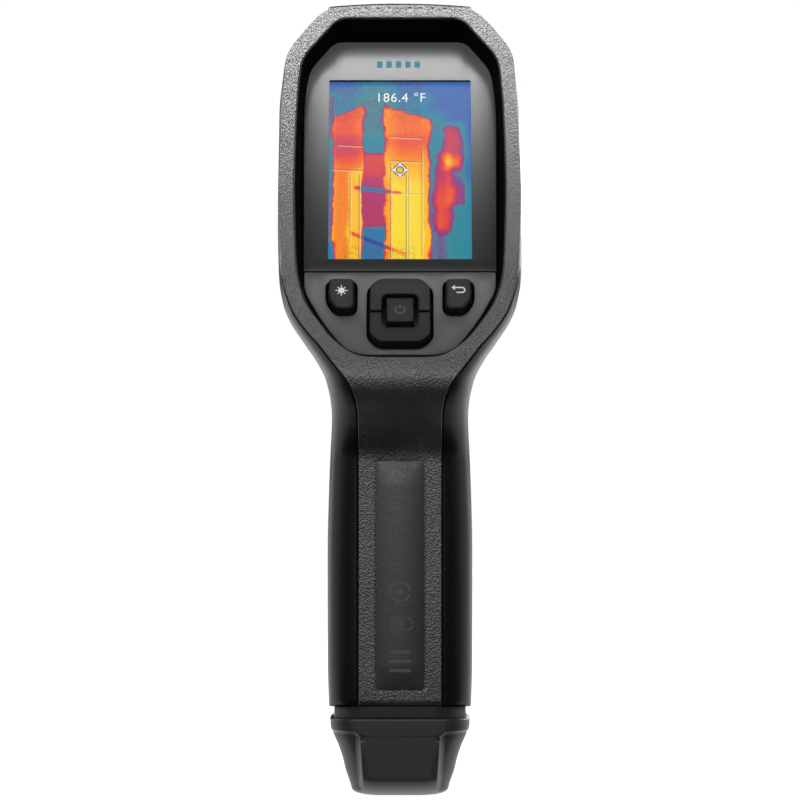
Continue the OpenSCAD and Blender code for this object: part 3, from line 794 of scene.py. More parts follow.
def slot_loop(w, d, cx, cy, n=8):
    """A slot with round ends, w long and d across."""
    out = []
    r = d / 2
    for side, a0 in ((1, -90), (-1, 90)):
        for k in range(n + 1):
            a = math.radians(a0 + 180 * k / n)
            out.append((cx + side * (w / 2 - r) + r * math.cos(a), cy + r * math.sin(a)))
    return out


# ---------------------------------------------------------------- screen, panel and keys
GLASS = [(17.4, 64.2), (24.1, 56), (25.6, 46), (25.4, 27.8), (25.3, 18.7), (25.13, 2.05),
         (25.1, -0.6)]
PANEL = [(25, -1.1), (24.8, -6.8), (23.4, -9.6), (20.4, -15.4), (15.4, -22.4), (13, -24.4),
         (9.7, -25.5)]
VIEW = (37.6, 50.4, 28.0)


def display_window(border, clear):
    """Cover glass: a printed border, with a painted reflection towards its top, round a clear view."""
    bm = bmesh.new()
    cuts = [2.2, 2.8, 6, 6, 6, 6, 0.3]
    loop = soft_loop(mirrored(GLASS), cuts + cuts[::-1], 6)
    loop = [tuple(Vector(p) - n * 0.03) for p, n in zip(loop, normals_of(loop))]
    made = prism(bm, spread(loop, 2), -1.2, 0, ON_SCREEN, top=0.16, steps=3, caps=False)
    w, h, mid = VIEW
    view = spread(rounded_box(w, h, 0.3, 2, 0, mid), 2)
    back = ON_SCREEN.inverted()
    for ring, z in ((made[-1], 0.0), (made[0], -1.2)):
        edge = [tuple((back @ v.co).to_2d()) for v in ring]
        patch(bm, edge, [view], [], on_face(ON_SCREEN, z))
        patch(bm, view, [], [], on_face(ON_SCREEN, z), material=1)
    return new_piece("display_window_glass", bm, "window_glass", [border, clear],
                     replaces=["display_window"])


def lcd_picture(material, body_material):
    """The display module, its face under the view, mapped in millimetres across and up."""
    bm = bmesh.new()
    prism(bm, rounded_box(42.8, 59, 0.8, 3, 0, 29.1), -4.9, -3.0, ON_SCREEN, top=0.2)
    prism(bm, rounded_box(40, 52.4, 0.5, 3, 0, 28), -3.1, -1.5, ON_SCREEN, top=0.05, steps=1,
          material=1)
    obj = new_piece("display_panel", bm, "lcd_glass", [body_material, material],
                    replaces=["lcd_panel"])
    uv = obj.data.uv_layers.new(name="face_mm")
    back = ON_SCREEN.inverted()
    for loop in obj.data.loops:
        p = back @ (obj.data.vertices[loop.vertex_index].co / MM)
        uv.data[loop.index].uv = (p.x, p.y)
    return obj


def flat_marks(name, shapes, matrix, z, t, slot, material, body="housing"):
    """Thin raised marks, each a loop of points."""
    bm = bmesh.new()
    for loop in shapes:
        prism(bm, loop, z, z + t, matrix, top=0)
    return new_piece(name, bm, slot, material, body=body, flat=True)


def stroke(points, width, closed=False):
    """A polyline widened into a loop."""
    pts = [Vector(p) for p in points]
    left, right = [], []
    n = len(pts)
    for i, p in enumerate(pts):
        a = pts[i - 1] if (closed or i) else p
        b = pts[(i + 1) % n] if (closed or i < n - 1) else p
        d = (b - a).normalized()
        m = Vector((d.y, -d.x)) * (width / 2)
        left.append(tuple(p + m))
        right.append(tuple(p - m))
    return left + right[::-1]


def arc(r, a0, a1, n=18, cx=0.0, cy=0.0):
    """Points along an arc from angle a0 to a1, in degrees."""
    return [(cx + r * math.cos(math.radians(a0 + (a1 - a0) * k / n)),
             cy + r * math.sin(math.radians(a0 + (a1 - a0) * k / n))) for k in range(n + 1)]


KEY_TOP = 2.7
LIGHT_KEY = [(-18.4, -4.5), (-11.8, -4.5), (-11.8, -13.3), (-16.4, -13.3), (-18.4, -10.1)]
NAV_UP = [(-7.75, -6.9), (-5.2, -4.5), (5.2, -4.5), (7.75, -6.9), (7.75, -13.9), (4.65, -13.9),
          (4.65, -10.1), (3.7, -9.15), (-3.7, -9.15), (-4.65, -10.1), (-4.65, -13.9),
          (-7.75, -13.9)]
NAV_DOWN = [(-7.75, -14.5), (-4.65, -14.5), (-4.65, -17.9), (-3.7, -18.85), (3.7, -18.85),
            (4.65, -17.9), (4.65, -14.5), (7.75, -14.5), (7.75, -20.6), (5.3, -22.9),
            (-5.3, -22.9), (-7.75, -20.6)]
NAV_OUTLINE = [(-7.75, -6.9), (-5.2, -4.5), (5.2, -4.5), (7.75, -6.9), (7.75, -20.6),
               (5.3, -22.9), (-5.3, -22.9), (-7.75, -20.6)]


def key_cap(name, node, loop, material, cut, top=0.45):
    """One key, with its upper edge rounded."""
    bm = bmesh.new()
    loop = soft_loop(loop, cut)
    prism(bm, spread(loop, 1.2), -2.6, KEY_TOP, ON_PANEL, top=top, steps=5)
    return new_piece(name, bm, "key_plastic", material, body=node, replaces=[node])


def key_mark(name, shapes, ink, node_name):
    """The print on a key."""
    flat_marks(name, shapes, ON_PANEL, KEY_TOP - 0.02, 0.05, "key_plastic", ink, node_name)


def flipped(loop):
    """An outline turned over to the other side."""
    return [(-x, y) for x, y in loop]


def star(c, inner, outer, half, angle):
    """A thin triangle that points away from c."""
    a = math.radians(angle)
    d, m = Vector((math.cos(a), math.sin(a))), Vector((-math.sin(a), math.cos(a)))
    c = Vector(c)
    return [tuple(c + d * inner - m * half), tuple(c + d * outer), tuple(c + d * inner + m * half)]


def keys(material, white, faint):
    """The five keys and their marks."""
    side_cuts = [1.3, 1.3, 1.7, 1.2, 1.2]
    key_cap("light_key_cap", "light_button", LIGHT_KEY, material, side_cuts, top=0.6)
    key_cap("back_key_cap", "back_button", flipped(LIGHT_KEY), material, side_cuts, top=0.6)
    up_cuts = [1, 1, 1, 1, 0.5, 0.45, 0.6, 0.6, 0.6, 0.6, 0.45, 0.5]
    low_cuts = [0.5, 0.45, 0.6, 0.6, 0.6, 0.6, 0.45, 0.5, 1, 1, 1, 1]
    key_cap("nav_key_upper", "nav_up", NAV_UP, material, up_cuts, top=0.28)
    key_cap("nav_key_lower", "nav_down", NAV_DOWN, material, low_cuts, top=0.28)
    square = [(-3.55, -17.3), (3.55, -17.3), (3.55, -10.2), (-3.55, -10.2)]
    key_cap("power_key_cap", "power_button", square, material, 0.8, top=0.5)
    # marks: rays of light, a turning arrow and the standby sign
    cx, cy = -15.05, -8.15
    rays = [circle(0.82, 24, cx, cy)]
    for k in range(8):
        rays.append(star((cx, cy), 1.0, 1.5 if k % 2 else 1.75, 0.2, 45 * k))
    key_mark("light_key_mark", rays, white, "light_button")
    bx, by = 15.2, -7.9
    hook = [(bx - 1.5, by + 0.62), (bx + 0.75, by + 0.62),
            *arc(0.72, 90, -90, 10, bx + 0.75, by - 0.1), (bx - 0.7, by - 0.82)]
    head = [(bx - 2.0, by + 0.62), (bx - 1.05, by + 1.35), (bx - 1.05, by - 0.1)]
    key_mark("back_key_mark", [stroke(hook, 0.36), head], white, "back_button")
    px, py = 0, -13.75
    ring = stroke(arc(1.15, 130, 410, 30, px, py), 0.3)
    bar = rounded_box(0.3, 1.2, 0.1, 2, px, py + 0.95)
    key_mark("power_key_mark", [ring, bar], faint, "power_button")


WELL_SLOPE, WELL_LIP = 0.5, 0.12


def button_panel(material):
    """The plate round the keys, with painted shade: the slope and wall round each opening are
    near-black.
    """
    bm = bmesh.new()
    cuts = [0.6, 2, 4, 6, 4, 3, 3]
    loop = soft_loop(mirrored(PANEL), cuts + cuts[::-1], 6)
    loop = spread([tuple(Vector(p) - n * 0.04) for p, n in zip(loop, normals_of(loop))], 1.8)
    made = prism(bm, loop, -1.5, 0, ON_PANEL, top=0.22, steps=3, caps=False)
    back = ON_PANEL.inverted()
    openings = []
    for shape, cut in ((LIGHT_KEY, 1.5), (flipped(LIGHT_KEY), 1.5), (NAV_OUTLINE, 1.2)):
        opening = soft_loop(shape, cut)
        openings.append(spread(grown(opening, 0.3), 1.5))
    top_edges, low_edges = [], []
    for opening in openings:
        rows = []
        for k in range(4):
            a = math.radians(90 * k / 3)
            lip = grown(opening, WELL_SLOPE + WELL_LIP * (1 - math.sin(a)))
            rows.append([at(ON_PANEL, x, y, -WELL_LIP * (1 - math.cos(a))) for x, y in lip])
        grid(bm, rows, closed=True)
        slope = grown(opening, WELL_SLOPE)
        low = [[at(ON_PANEL, x, y, z) for x, y in ring]
               for ring, z in ((slope, -WELL_LIP), (opening, -1.1), (opening, -1.5))]
        # painted shade: the slope and wall into each opening take the second, near-black material
        grid(bm, low, closed=True, material=1)
        top_edges.append(grown(opening, WELL_SLOPE + WELL_LIP))
        low_edges.append(opening)
    for ring, z, cut in ((made[-1], 0.0, top_edges), (made[0], -1.5, low_edges)):
        edge = [tuple((back @ v.co).to_2d()) for v in ring]
        patch(bm, edge, cut, [], on_face(ON_PANEL, z))
    new_piece("key_panel_plate", bm, "panel_plastic", material, replaces=["button_panel"])


def handle_label(material, faint):
    """The label on the handle, with faint generic marks."""
    bm = bmesh.new()
    lw, lh, mid = 12.55, 59.15, 34.65
    plate = spread(rounded_box(lw, lh, 1.0, 6, 0, mid), 2)
    prism(bm, plate, -0.48, -0.18, ON_SPINE, top=0.1, steps=2)
    new_piece("handle_label_plate", bm, "label_film", material, replaces=["handle_label"])
    shapes = []
    for k in range(14):  # a faint row of ticks, as on a ruler
        y = 36.2 + k * 1.72
        shapes.append(rounded_box(1.1 if k % 4 else 2.0, 0.22, 0.1, 2, -0.2, y))
    shapes.append(stroke(arc(2.6, 0, 345, 40, 0, 30.4), 0.45))
    shapes.append(circle(0.8, 20, 0, 30.4))
    shapes.append(stroke(arc(1.5, 0, 345, 30, 1.9, 22.0), 0.3))
    for k in range(5):
        shapes.append(rounded_box(0.26, 4.4, 0.1, 2, -2.4 + k * 0.62, 22.0))
    for y in (14.8, 12.4, 10.0):
        shapes.append(rounded_box(5.6, 0.8, 0.35, 4, 0, y))
    flat_marks("handle_label_marks", shapes, ON_SPINE, -0.19, 0.03, "label_film", faint)


# ---------------------------------------------------------------- end cap
cap_half = smooth_table([(0, 11.6), (0.8, 12.3), (3.6, 13.2), (6.7, 14.3), (10, 15.1), (13, 16.1),
                         (17, 17.7), (20, 18.2), (30, 18.2)])
cap_back = smooth_table([(0, -10.6), (0.7, -13.6), (1.6, -16.2), (2.8, -18.6), (4.4, -20.4),
                         (6, -21.1), (8, -21.4), (30, -21.4)])
cap_front = smooth_table([(0, 13.6), (1.5, 15.4), (4, 17), (7, 17.6), (30, 17.6)])
TONGUE = smooth_table([(0, 9.0), (4, 9.4), (16, 10.1), (30, 10.4)])
SCOOP_TOP, SCOOP_DEEP = 18.3, 4.5
CAP_ROUND = 0.35


def cap_point(u, z, setback):
    """One point of the right half of a cap section: u runs from the middle of the back to the front."""
    w = cap_half(z)
    yb = max(cap_back(z), -21.4 + setback)
    yf = min(cap_front(z), 17.6 - setback)
    db, df = 7, min(8, w - 6.2)
    if u < 1:
        return (w - db) * u, yb
    if u < 2:
        a = math.radians(90 * (u - 1))
        return w - db + db * math.sin(a), yb + db * (1 - math.cos(a))
    if u < 3:
        return w, (yb + db) + (yf - df - yb - db) * (u - 2)
    if u < 4:
        a = math.radians(90 * (u - 3))
        return w - df + df * math.cos(a), yf - df * (1 - math.sin(a))
    if u < POCKET_U:
        return w - df + (POCKET_HALF - w + df) * (u - 4) / (POCKET_U - 4), yf
    return POCKET_HALF * (5 - u) / (5 - POCKET_U), yf


# Lanyard pocket in the front rib, and the cap's screws beside the tripod insert
POCKET_HALF, POCKET_Z, POCKET_Y, POCKET_U = 5.5, (3.2, 8.2), 10, 4.25
CAP_SCREWS, CAP_SCREW_BORE, INSERT_BORE = [(-8.1, 1), (8.1, 1)], 2.7, 4.6


def cap_skin(u, z, inset=0.0):
    """One point of the right half of the cap, with its scoop cut in beside the tongue."""
    xo, yo = cap_point(u, z, 0.4 if z < 17 else 0.0)
    _, yi = cap_point(u, z, SCOOP_DEEP)
    r = 2.4
    qx, qz = abs(xo) - TONGUE(z), SCOOP_TOP - z
    g = r - math.hypot(max(r - qx, 0), max(r - qz, 0))
    y = yo + (yi - yo) * ease(g / 1.5)
    x = xo
    if inset:
        x -= inset * (1 if x > inset else 0)
        y += inset * (1 if y < 0 else -1)
    k = min(max((z - 17) / (CAP_END - 17), 0), 1)
    return Vector((x, y, z - SLANT * (y - SPINE_Y) * k * k))


def cap_foot(bm, foot):
    """The flat underside, with the holes for the insert and the screws."""
    ring = [(p.x, p.y) for p in foot] + [(-p.x, p.y) for p in foot[-2:0:-1]]
    bores = [(INSERT_BORE, 0, 0, 9)] + [(CAP_SCREW_BORE, x, y, 4.4) for x, y in CAP_SCREWS]
    patch(bm, anticlockwise(ring), [circle(r + 0.25, 40, x, y) for r, x, y, _ in bores], [],
          level(0))
    for r, cx, cy, deep in bores:
        grid(bm, [[Vector((x, y, z)) for x, y in circle(r + grow, 40, cx, cy)]
                  for grow, z in ((0.25, 0), (0.08, 0.08), (0, 0.25), (0, deep))], closed=True)


def end_cap(material):
    """The cap under the handle: scooped corners, tongue, pocket and bores."""
    bm = bmesh.new()
    us = [0.0]
    for start, stop, count in ((0, 1, 14), (1, 2, 40), (2, 3, 12), (3, 4, 40), (4, POCKET_U, 4),
                               (POCKET_U, 5, 10)):
        us += list(np.linspace(start, stop, count)[1:])
    zs = list(np.concatenate((np.linspace(0.0, POCKET_Z[0], 10), np.linspace(*POCKET_Z, 12)[1:],
                              np.linspace(8.7, 15, 16), np.linspace(15.3, 19.2, 20),
                              np.linspace(19.5, CAP_END - CAP_ROUND, 6))))

    rows = [[cap_skin(u, z) for u in us] for z in zs]
    for k in range(1, 4):
        a = math.radians(30 * k)
        rise = Vector((0, 0, CAP_ROUND * math.sin(a)))
        rows.append([cap_skin(u, CAP_END - CAP_ROUND, CAP_ROUND * (1 - math.cos(a))) + rise for u in us])
    rows.append([p + Vector((-3 if p.x > 3 else -p.x, 3 if p.y < 0 else -3, 0)) for p in rows[-1]])
    grid(bm, rows)
    grid(bm, other_side(rows))
    # the lanyard pocket: its skin away, its walls and its back in
    z0, z1 = POCKET_Z
    away = [f for f in bm.faces if abs(f.calc_center_median().x) < POCKET_HALF
            and z0 < f.calc_center_median().z < z1 and f.calc_center_median().y > POCKET_Y]
    bmesh.ops.delete(bm, geom=away, context="FACES_ONLY")
    mouth = [cap_skin(u, z0) for u in us[::-1] if u >= POCKET_U]
    mouth += [cap_skin(POCKET_U, z) for z in zs if z0 < z < z1]
    mouth += [cap_skin(u, z1) for u in us if u >= POCKET_U]
    back = [Vector((p.x, POCKET_Y, p.z)) for p in mouth]
    for walls in ([mouth, back], other_side([mouth, back])):
        grid(bm, walls)
    ring = [(p.x, p.z) for p in back] + [(-p.x, p.z) for p in back[-2:0:-1]]
    patch(bm, anticlockwise(cleaned(ring)), [], [], lambda x, z: Vector((x, POCKET_Y, z)))
    cap_foot(bm, rows[0])
    skin_piece("end_cap_shell", bm, ((0, -21, 12), (0, -1, 0)), "body_plastic", material,
               replaces=["end_cap"])


def cap_seal(material):
    """The seal between the cap and the handle."""
    bm = bmesh.new()
    tilt = Matrix.Translation((0, SPINE_Y, CAP_END)) @ Matrix.Rotation(-SLANT_ANGLE, 4, "X")
    loop = spread(rounded_box(34.6, 37.4, 9, 12, 0, 19.8), 2)
    rows = []
    for inset, z in ((0.5, 0.0), (0.12, 0.15), (0, 0.5), (0, 3.0), (0.12, 3.25), (0.5, 3.4)):
        rows.append([at(tilt, x, y, z) for x, y in grown(loop, -inset)])
    grid(bm, rows, closed=True)
    skin_piece("end_cap_seal_ring", bm, ((0, -20.5, 23.4), (0, -1, 0)), "grip_rubber", material,
               replaces=["end_cap_seal"])


# ---------------------------------------------------------------- flap, pad, trigger and optics
def port_flap(material):
    """The flap over the charging port, with its plug."""
    bm = bmesh.new()
    rows = []
    for inset, z in ((0.1, 206.9), (0, 207.0), (0, 208.6), (0.06, 208.85), (0.25, 209.05),
                     (0.6, 209.17), (1.2, 209.2)):
        loop = rounded_box(17.5 - 2 * inset, 16 - 2 * inset, 1.7 - inset, 6, 0, 3.15)
        rows.append([Vector((x, y, z)) for x, y in loop])
    grid(bm, rows, closed=True)
    for row in (rows[0], rows[-1]):
        patch(bm, [(p.x, p.y) for p in row], [], [], level(row[0].z))
    prism(bm, slot_loop(6.7, 1.5, 0, 6), 205.1, 206.95, Matrix.Identity(4), top=0, bottom=0.3)
    new_piece("port_flap_rubber", bm, "grip_rubber", material, body="usb_flap", replaces=["usb_flap"])


def port_socket(shell, tongue):
    """The charging socket under the flap."""
    bm = bmesh.new()
    outer, inner = slot_loop(8.9, 3.2, 0, 6, 10), slot_loop(8.3, 2.6, 0, 6, 10)
    rows = [(outer, 199.0), (outer, 205.5), (grown(outer, -0.1), 205.6), (grown(inner, 0.1), 205.6),
            (inner, 205.5), (inner, 199.6)]
    grid(bm, [[Vector((x, y, z)) for x, y in loop] for loop, z in rows], closed=True)
    for loop, z in ((outer, 199.0), (inner, 199.6)):
        patch(bm, anticlockwise(loop), [], [], level(z))
    new_piece("port_socket_shell", bm, "steel", shell, replaces=["usb_connector"])
    bm = bmesh.new()
    prism(bm, rounded_box(6.6, 0.7, 0.15, 3, 0, 6), 199.6, 204.7, Matrix.Identity(4), top=0.12)
    new_piece("port_socket_tongue", bm, "chip_plastic", tongue)


RIB_PITCH, RIB_DEPTH = 3.2, 0.7


def grip_pad(material):
    """The pad on the front of the handle, ribbed across, with a plain border."""
    bm = bmesh.new()
    w, h, mid, r = GRIP
    outline = anticlockwise(spread(rounded_box(w, h, r, 8, 0, mid), 1.2))

    def skin(x, z, sink=0.0):
        return front_surface(x, z) + Vector((0, -sink, 0))

    def ribbed(x, z):
        qx, qz = abs(x) - (w / 2 - r), abs(z - mid) - (h / 2 - r)
        from_edge = r - math.hypot(max(qx, 0), max(qz, 0)) - min(max(qx, qz), 0)
        wave = 0.5 - 0.5 * math.cos(2 * math.pi * (z - mid) / RIB_PITCH)
        return skin(x, z, RIB_DEPTH * ease((from_edge - 1.6) / 1.2) * wave**2)

    rows = [[skin(x, z, sink) for x, z in grown(outline, -inset)]
            for inset, sink in ((0, 1.35), (0, 0.4), (0.12, 0.13), (0.4, 0.0))]
    grid(bm, rows, closed=True)
    extra = [(x, z) for z in np.arange(mid - 30, mid + 30.1, 0.4)
             for x in np.arange(-14.4, 14.5, 1.2)]
    patch(bm, grown(outline, -0.4), [], extra, ribbed, gap=0.3)
    skin_piece("grip_pad_ribbed", bm, ((0, 20.6, mid), (0, 1, 0)), "grip_rubber", material,
               replaces=["grip_pad"])


TRIGGER = [(14, 142), (18, 142.2), (20.5, 140), (23.4, 135.6), (25.2, 131), (25.6, 126), (25.2, 121),
           (25.6, 116), (27, 111.6), (26.2, 109.6), (23.6, 108.4), (18.6, 108.4), (17.4, 112),
           (17, 126), (15.6, 134), (13.4, 138)]
SIDEWAYS = Matrix(((0, 0, 1, 0), (1, 0, 0, 0), (0, 1, 0, 0), (0, 0, 0, 1)))


def trigger(material):
    """The trigger, its side outline widened across."""
    bm = bmesh.new()
    loop = spread(soft_loop(TRIGGER, 1.9, 6), 1.0)
    prism(bm, loop, -7.45, 7.45, SIDEWAYS, top=1.15, bottom=1.15, steps=6)
    new_piece("trigger_blade", bm, "trigger_plastic", material, body="trigger", replaces=["trigger"])


def trigger_spring(material):
    """A coil spring between the bracket and the trigger."""
    bm = bmesh.new()
    coil, wire, turns, y0, length = 2.65, 0.34, 7, 8.05, 9.0
    rows = []
    count = turns * 20
    for k in range(count + 1):
        a = 2 * math.pi * turns * k / count
        out = Vector((math.cos(a), 0, math.sin(a)))
        y = y0 + wire + (length - 2 * wire) * k / count
        middle = Vector((0, y, 115)) + out * coil
        rows.append([middle + out * wire * math.cos(b) + Vector((0, wire * math.sin(b), 0))
                     for b in [2 * math.pi * j / 8 for j in range(8)]])
    made = grid(bm, rows, closed=True)
    bm.faces.new(made[0])
    bm.faces.new(made[-1])
    obj = new_piece("trigger_spring_coil", bm, "steel", material, replaces=["trigger_spring"])
    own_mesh(obj)


def facing_front(x, y, z):
    """A frame whose z looks forwards from a point."""
    return Matrix.Translation((x, y, z)) @ FACING_FRONT


# Openings of the bezel, each [across, height, radius, width of its chamfer]
WINDOWS = {"lens": (0, LENS_Z, 11.1, 0.6), "lamp": (0, LAMP_Z, 7.1, 0.9),
           "camera": (-SIDE_X, LENS_Z, 4.1, 0.5), "laser": (SIDE_X, LENS_Z, 2.6, 0.4)}


def front_bezel(material):
    """The plate on the front, with four chamfered openings."""
    bm = bmesh.new()
    outline = anticlockwise(spread(rounded_box(50, 46, 8, 10, 0, BEZEL_Z), 2.5))
    depth = 3.0
    y0 = FRONT_Y - depth

    def flat(y):
        return lambda x, z: Vector((x, y, z))

    steps = ((0.1, y0), (0, y0 + 0.2), (0, FRONT_Y - 0.8), (0.1, FRONT_Y - 0.42),
             (0.35, FRONT_Y - 0.13), (0.8, FRONT_Y))
    grid(bm, [[Vector((x, y, z)) for x, z in grown(outline, -inset)] for inset, y in steps],
         closed=True)
    fronts, backs = [], []
    for x, z, r, chamfer in WINDOWS.values():
        rows = [(r + chamfer, FRONT_Y), (r + chamfer * 0.9, FRONT_Y - 0.05),
                (r + 0.08, FRONT_Y - chamfer), (r, FRONT_Y - chamfer - 0.12), (r, y0)]
        grid(bm, [[Vector((px, y, pz)) for px, pz in circle(radius, 56, x, z)] for radius, y in rows],
             closed=True)
        fronts.append(circle(r + chamfer, 56, x, z))
        backs.append(circle(r, 56, x, z))
    patch(bm, grown(outline, -0.8), fronts, [], flat(FRONT_Y))
    patch(bm, grown(outline, -0.1), backs, [], flat(y0))
    new_piece("front_bezel_plate", bm, "bezel_plastic", material, replaces=["front_bezel"])


def thermal_optics(barrel, germanium, ring):
    """The stepped lens barrel, the germanium lens and its ring."""
    bm = bmesh.new()
    profile = [(5, 0), (9.5, 0), (9.5, 14), (11, 15), (11, 18.6), (10.9, 18.85), (10.7, 19.0),
               (10.4, 19.05)]
    for k in range(6):  # stepped cone round the lens
        r = 10.2 - 0.4 * k
        z = 18.85 - 0.66 * k
        profile += [(r, z), (r - 0.06, z - 0.12), (r - 0.1, z - 0.56), (r - 0.34, z - 0.64)]
    profile += [(7.85, 14.9), (7.8, 12.9), (6.6, 12.9), (5, 4), (5, 0)]
    lathe(bm, profile, facing_front(0, 30, LENS_Z), 72)
    new_piece("lens_barrel_stepped", bm, "barrel_metal", barrel, replaces=["lens_barrel"])

    bm = bmesh.new()
    clear_r, middle_h, rise = 7.6, 3, 0.97
    profile = [(0, 0), (clear_r, 0), (7.7, 0.1), (7.7, 1.9)]
    for k in range(19):
        r = clear_r * (1 - k / 18)
        profile.append((r, middle_h - rise / clear_r**2 * r**2))
    lathe(bm, profile, facing_front(0, 43, LENS_Z), 64)
    new_piece("germanium_lens", bm, "germanium", germanium, replaces=["thermal_lens"])

    bm = bmesh.new()
    matrix = facing_front(0, 45.42, LENS_Z)
    rows = []
    for r, z, drop in ((6.9, 0.0, 0), (7.9, 0.0, 0), (8.25, 0.6, 0), (8.2, 0.7, 1), (7.0, 0.7, 1),
                       (6.9, 0.62, 1), (6.9, 0.0, 0)):
        row = []
        for k in range(96):
            notch = drop and (k % 48) in (47, 0, 1)
            a = 2 * math.pi * k / 96
            row.append(at(matrix, r * math.cos(a), r * math.sin(a), z - (0.35 if notch else 0)))
        rows.append(row)
    grid(bm, rows, closed=True)
    new_piece("lens_ring_notched", bm, "steel", ring, replaces=["lens_retaining_ring"])


def round_window(name, node_name, x, radius, thick, clear_r, print_material, clear_material):
    """A round window: a printed rim with chamfered edges, and a clear middle."""
    bm = bmesh.new()
    matrix = facing_front(x, FRONT_Y - 1.6, LENS_Z)
    lathe(bm, [(clear_r, 0), (radius - 0.1, 0), (radius, 0.1), (radius, thick - 0.15),
               (radius - 0.15, thick), (clear_r, thick)], matrix, 48)
    lathe(bm, [(clear_r, thick), (0, thick)], matrix, 48, 1)
    lathe(bm, [(0, 0), (clear_r, 0)], matrix, 48, 1)
    new_piece(name, bm, "window_glass", [print_material, clear_material], replaces=[node_name])


def side_windows(printed, clear, tint):
    """The camera's window and the laser's."""
    round_window("camera_window_glass", "camera_window", -SIDE_X, 4, 1.2, 2.6, printed, clear)
    round_window("laser_window_glass", "laser_window", SIDE_X, 2.5, 1.0, 1.3, printed, tint)


def camera_eye(body, lens):
    """The camera module behind its window."""
    bm = bmesh.new()
    matrix = facing_front(-SIDE_X, 36.2, LENS_Z)
    prism(bm, rounded_box(8.5, 8.5, 0.6, 3), 0, 5, matrix, top=0.3, bottom=0.3)
    lathe(bm, [(3.2, 5), (3.2, 9.3), (3.0, 9.5), (2.5, 9.5), (2.35, 9.2), (2.1, 9.1), (1.95, 8.8),
               (1.7, 8.7)], matrix, 48)
    lathe(bm, [(1.7 * (1 - k / 8), 9.0 - 0.3 * (1 - k / 8) ** 2) for k in range(9)], matrix, 48, 1)
    new_piece("camera_module_eye", bm, "inner_plastic", [body, lens], replaces=["camera_module"])


def lamp(optic, board, led):
    """The lamp's optic, with a ribbed front, and its board."""
    bm = bmesh.new()
    front = [(5.6 - 0.7 * k, 7.2 + 0.012 * k + (0.12 if k % 2 else 0)) for k in range(8)]
    lathe(bm, [(0, 2.6), (2.5, 2.6), (2.6, 2.5), (2.6, 0.1), (2.7, 0), (3.6, 0), (4.9, 1.9),
               (6.1, 4.0), (6.95, 5.6), (7, 5.8), (7, 6.9), (6.8, 7.1), *front, (0, 7.3)],
          facing_front(0, 41.6, LAMP_Z), 56)
    new_piece("lamp_lens_optic", bm, "lamp_optic", optic, replaces=["lamp_lens"])
    bm = bmesh.new()
    matrix = facing_front(0, 38.2, LAMP_Z)
    prism(bm, circle(9, 56), 0, 1.5, matrix, top=0.08, steps=1)
    prism(bm, rounded_box(3.4, 3.4, 0.2, 3), 1.45, 2.2, matrix, top=0.08, steps=2)
    prism(bm, circle(1.25, 28), 2.15, 2.3, matrix, top=0.1, steps=2, material=1)
    new_piece("lamp_board_and_led", bm, "circuit_board", [board, led], replaces=["lamp_board"])


# ---------------------------------------------------------------- screws, insert and pin
def socket_screw(bm, matrix, head_r, head_h, shank_r, shank_h, hex_r, hex_deep):
    """A cap screw: its head stands on the frame's z = 0 and its shank runs down from there."""
    rim = head_r - 0.28
    lathe(bm, [(0, -shank_h), (shank_r - 0.15, -shank_h), (shank_r, -shank_h + 0.2), (shank_r, 0),
               (head_r - 0.08, 0), (head_r, 0.1), (head_r, head_h - 0.3),
               (head_r - 0.08, head_h - 0.1), (rim, head_h)], matrix, 32)
    mouth, socket = circle(hex_r + 0.12, 6), circle(hex_r, 6)
    patch(bm, circle(rim, 32), [mouth], [], on_face(matrix, head_h))
    rows = [[at(matrix, x, y, z) for x, y in loop]
            for loop, z in ((mouth, head_h), (socket, head_h - 0.12), (socket, head_h - hex_deep))]
    made = grid(bm, rows, closed=True)
    bm.faces.new(made[-1])


def screws_and_insert(steel, brass):
    """All the screws, the threaded insert and the lanyard bar."""
    bm = bmesh.new()
    for x, z in BOTH_SCREWS:
        socket_screw(bm, facing_front(x, SCREW_SEAT, z), 2, 1.6, 1, SCREW_SEAT + 2.5, 0.9, 1.0)
    new_piece("housing_screws_hex", bm, "steel", steel, replaces=["housing_screws"])
    bm = bmesh.new()
    for x, y in CAP_SCREWS:
        down = Matrix.Translation((x, y, 4.4)) @ Matrix.Rotation(math.pi, 4, "X")
        socket_screw(bm, down, 2.4, 2.2, 1.3, 20, 1.1, 1.0)
    new_piece("end_cap_screws_hex", bm, "steel", steel, replaces=["end_cap_screws"])

    bm = bmesh.new()
    pitch, crest, root, depth, n = 1.27, 2.75, 3.175, 9.0, 40
    rows = []
    for z in np.arange(0, depth + 0.01, pitch / 8):
        row = []
        for k in range(n):
            phase = (z / pitch - k / n) % 1.0
            rise = 1 - abs(2 * phase - 1)
            r = root - (root - crest) * rise * min(1, z / 0.6)
            a = 2 * math.pi * k / n
            row.append(Vector((r * math.cos(a), r * math.sin(a), z)))
        rows.append(row)
    grid(bm, rows, closed=True)
    lathe(bm, [(root, 0), (root + 0.25, 0), (4.4, 0), (4.5, 0.1), (4.5, 10.4), (4.4, 10.5),
               (4.1, 10.5), (4.1, 11.5), (0, 11.5)], Matrix.Identity(4), n)
    patch(bm, [(p.x, p.y) for p in rows[-1]], [], [], level(rows[-1][0].z))
    new_piece("tripod_insert_threaded", bm, "brass", brass, replaces=["tripod_insert"])

    bm = bmesh.new()
    across = Matrix.Translation((0, 14, 5.7)) @ Matrix.Rotation(math.pi / 2, 4, "Y")
    lathe(bm, [(0, -7.5), (0.85, -7.5), (1, -7.35), (1, 7.35), (0.85, 7.5), (0, 7.5)], across, 28)
    new_piece("lanyard_bar", bm, "steel", steel, replaces=["lanyard_pin"])


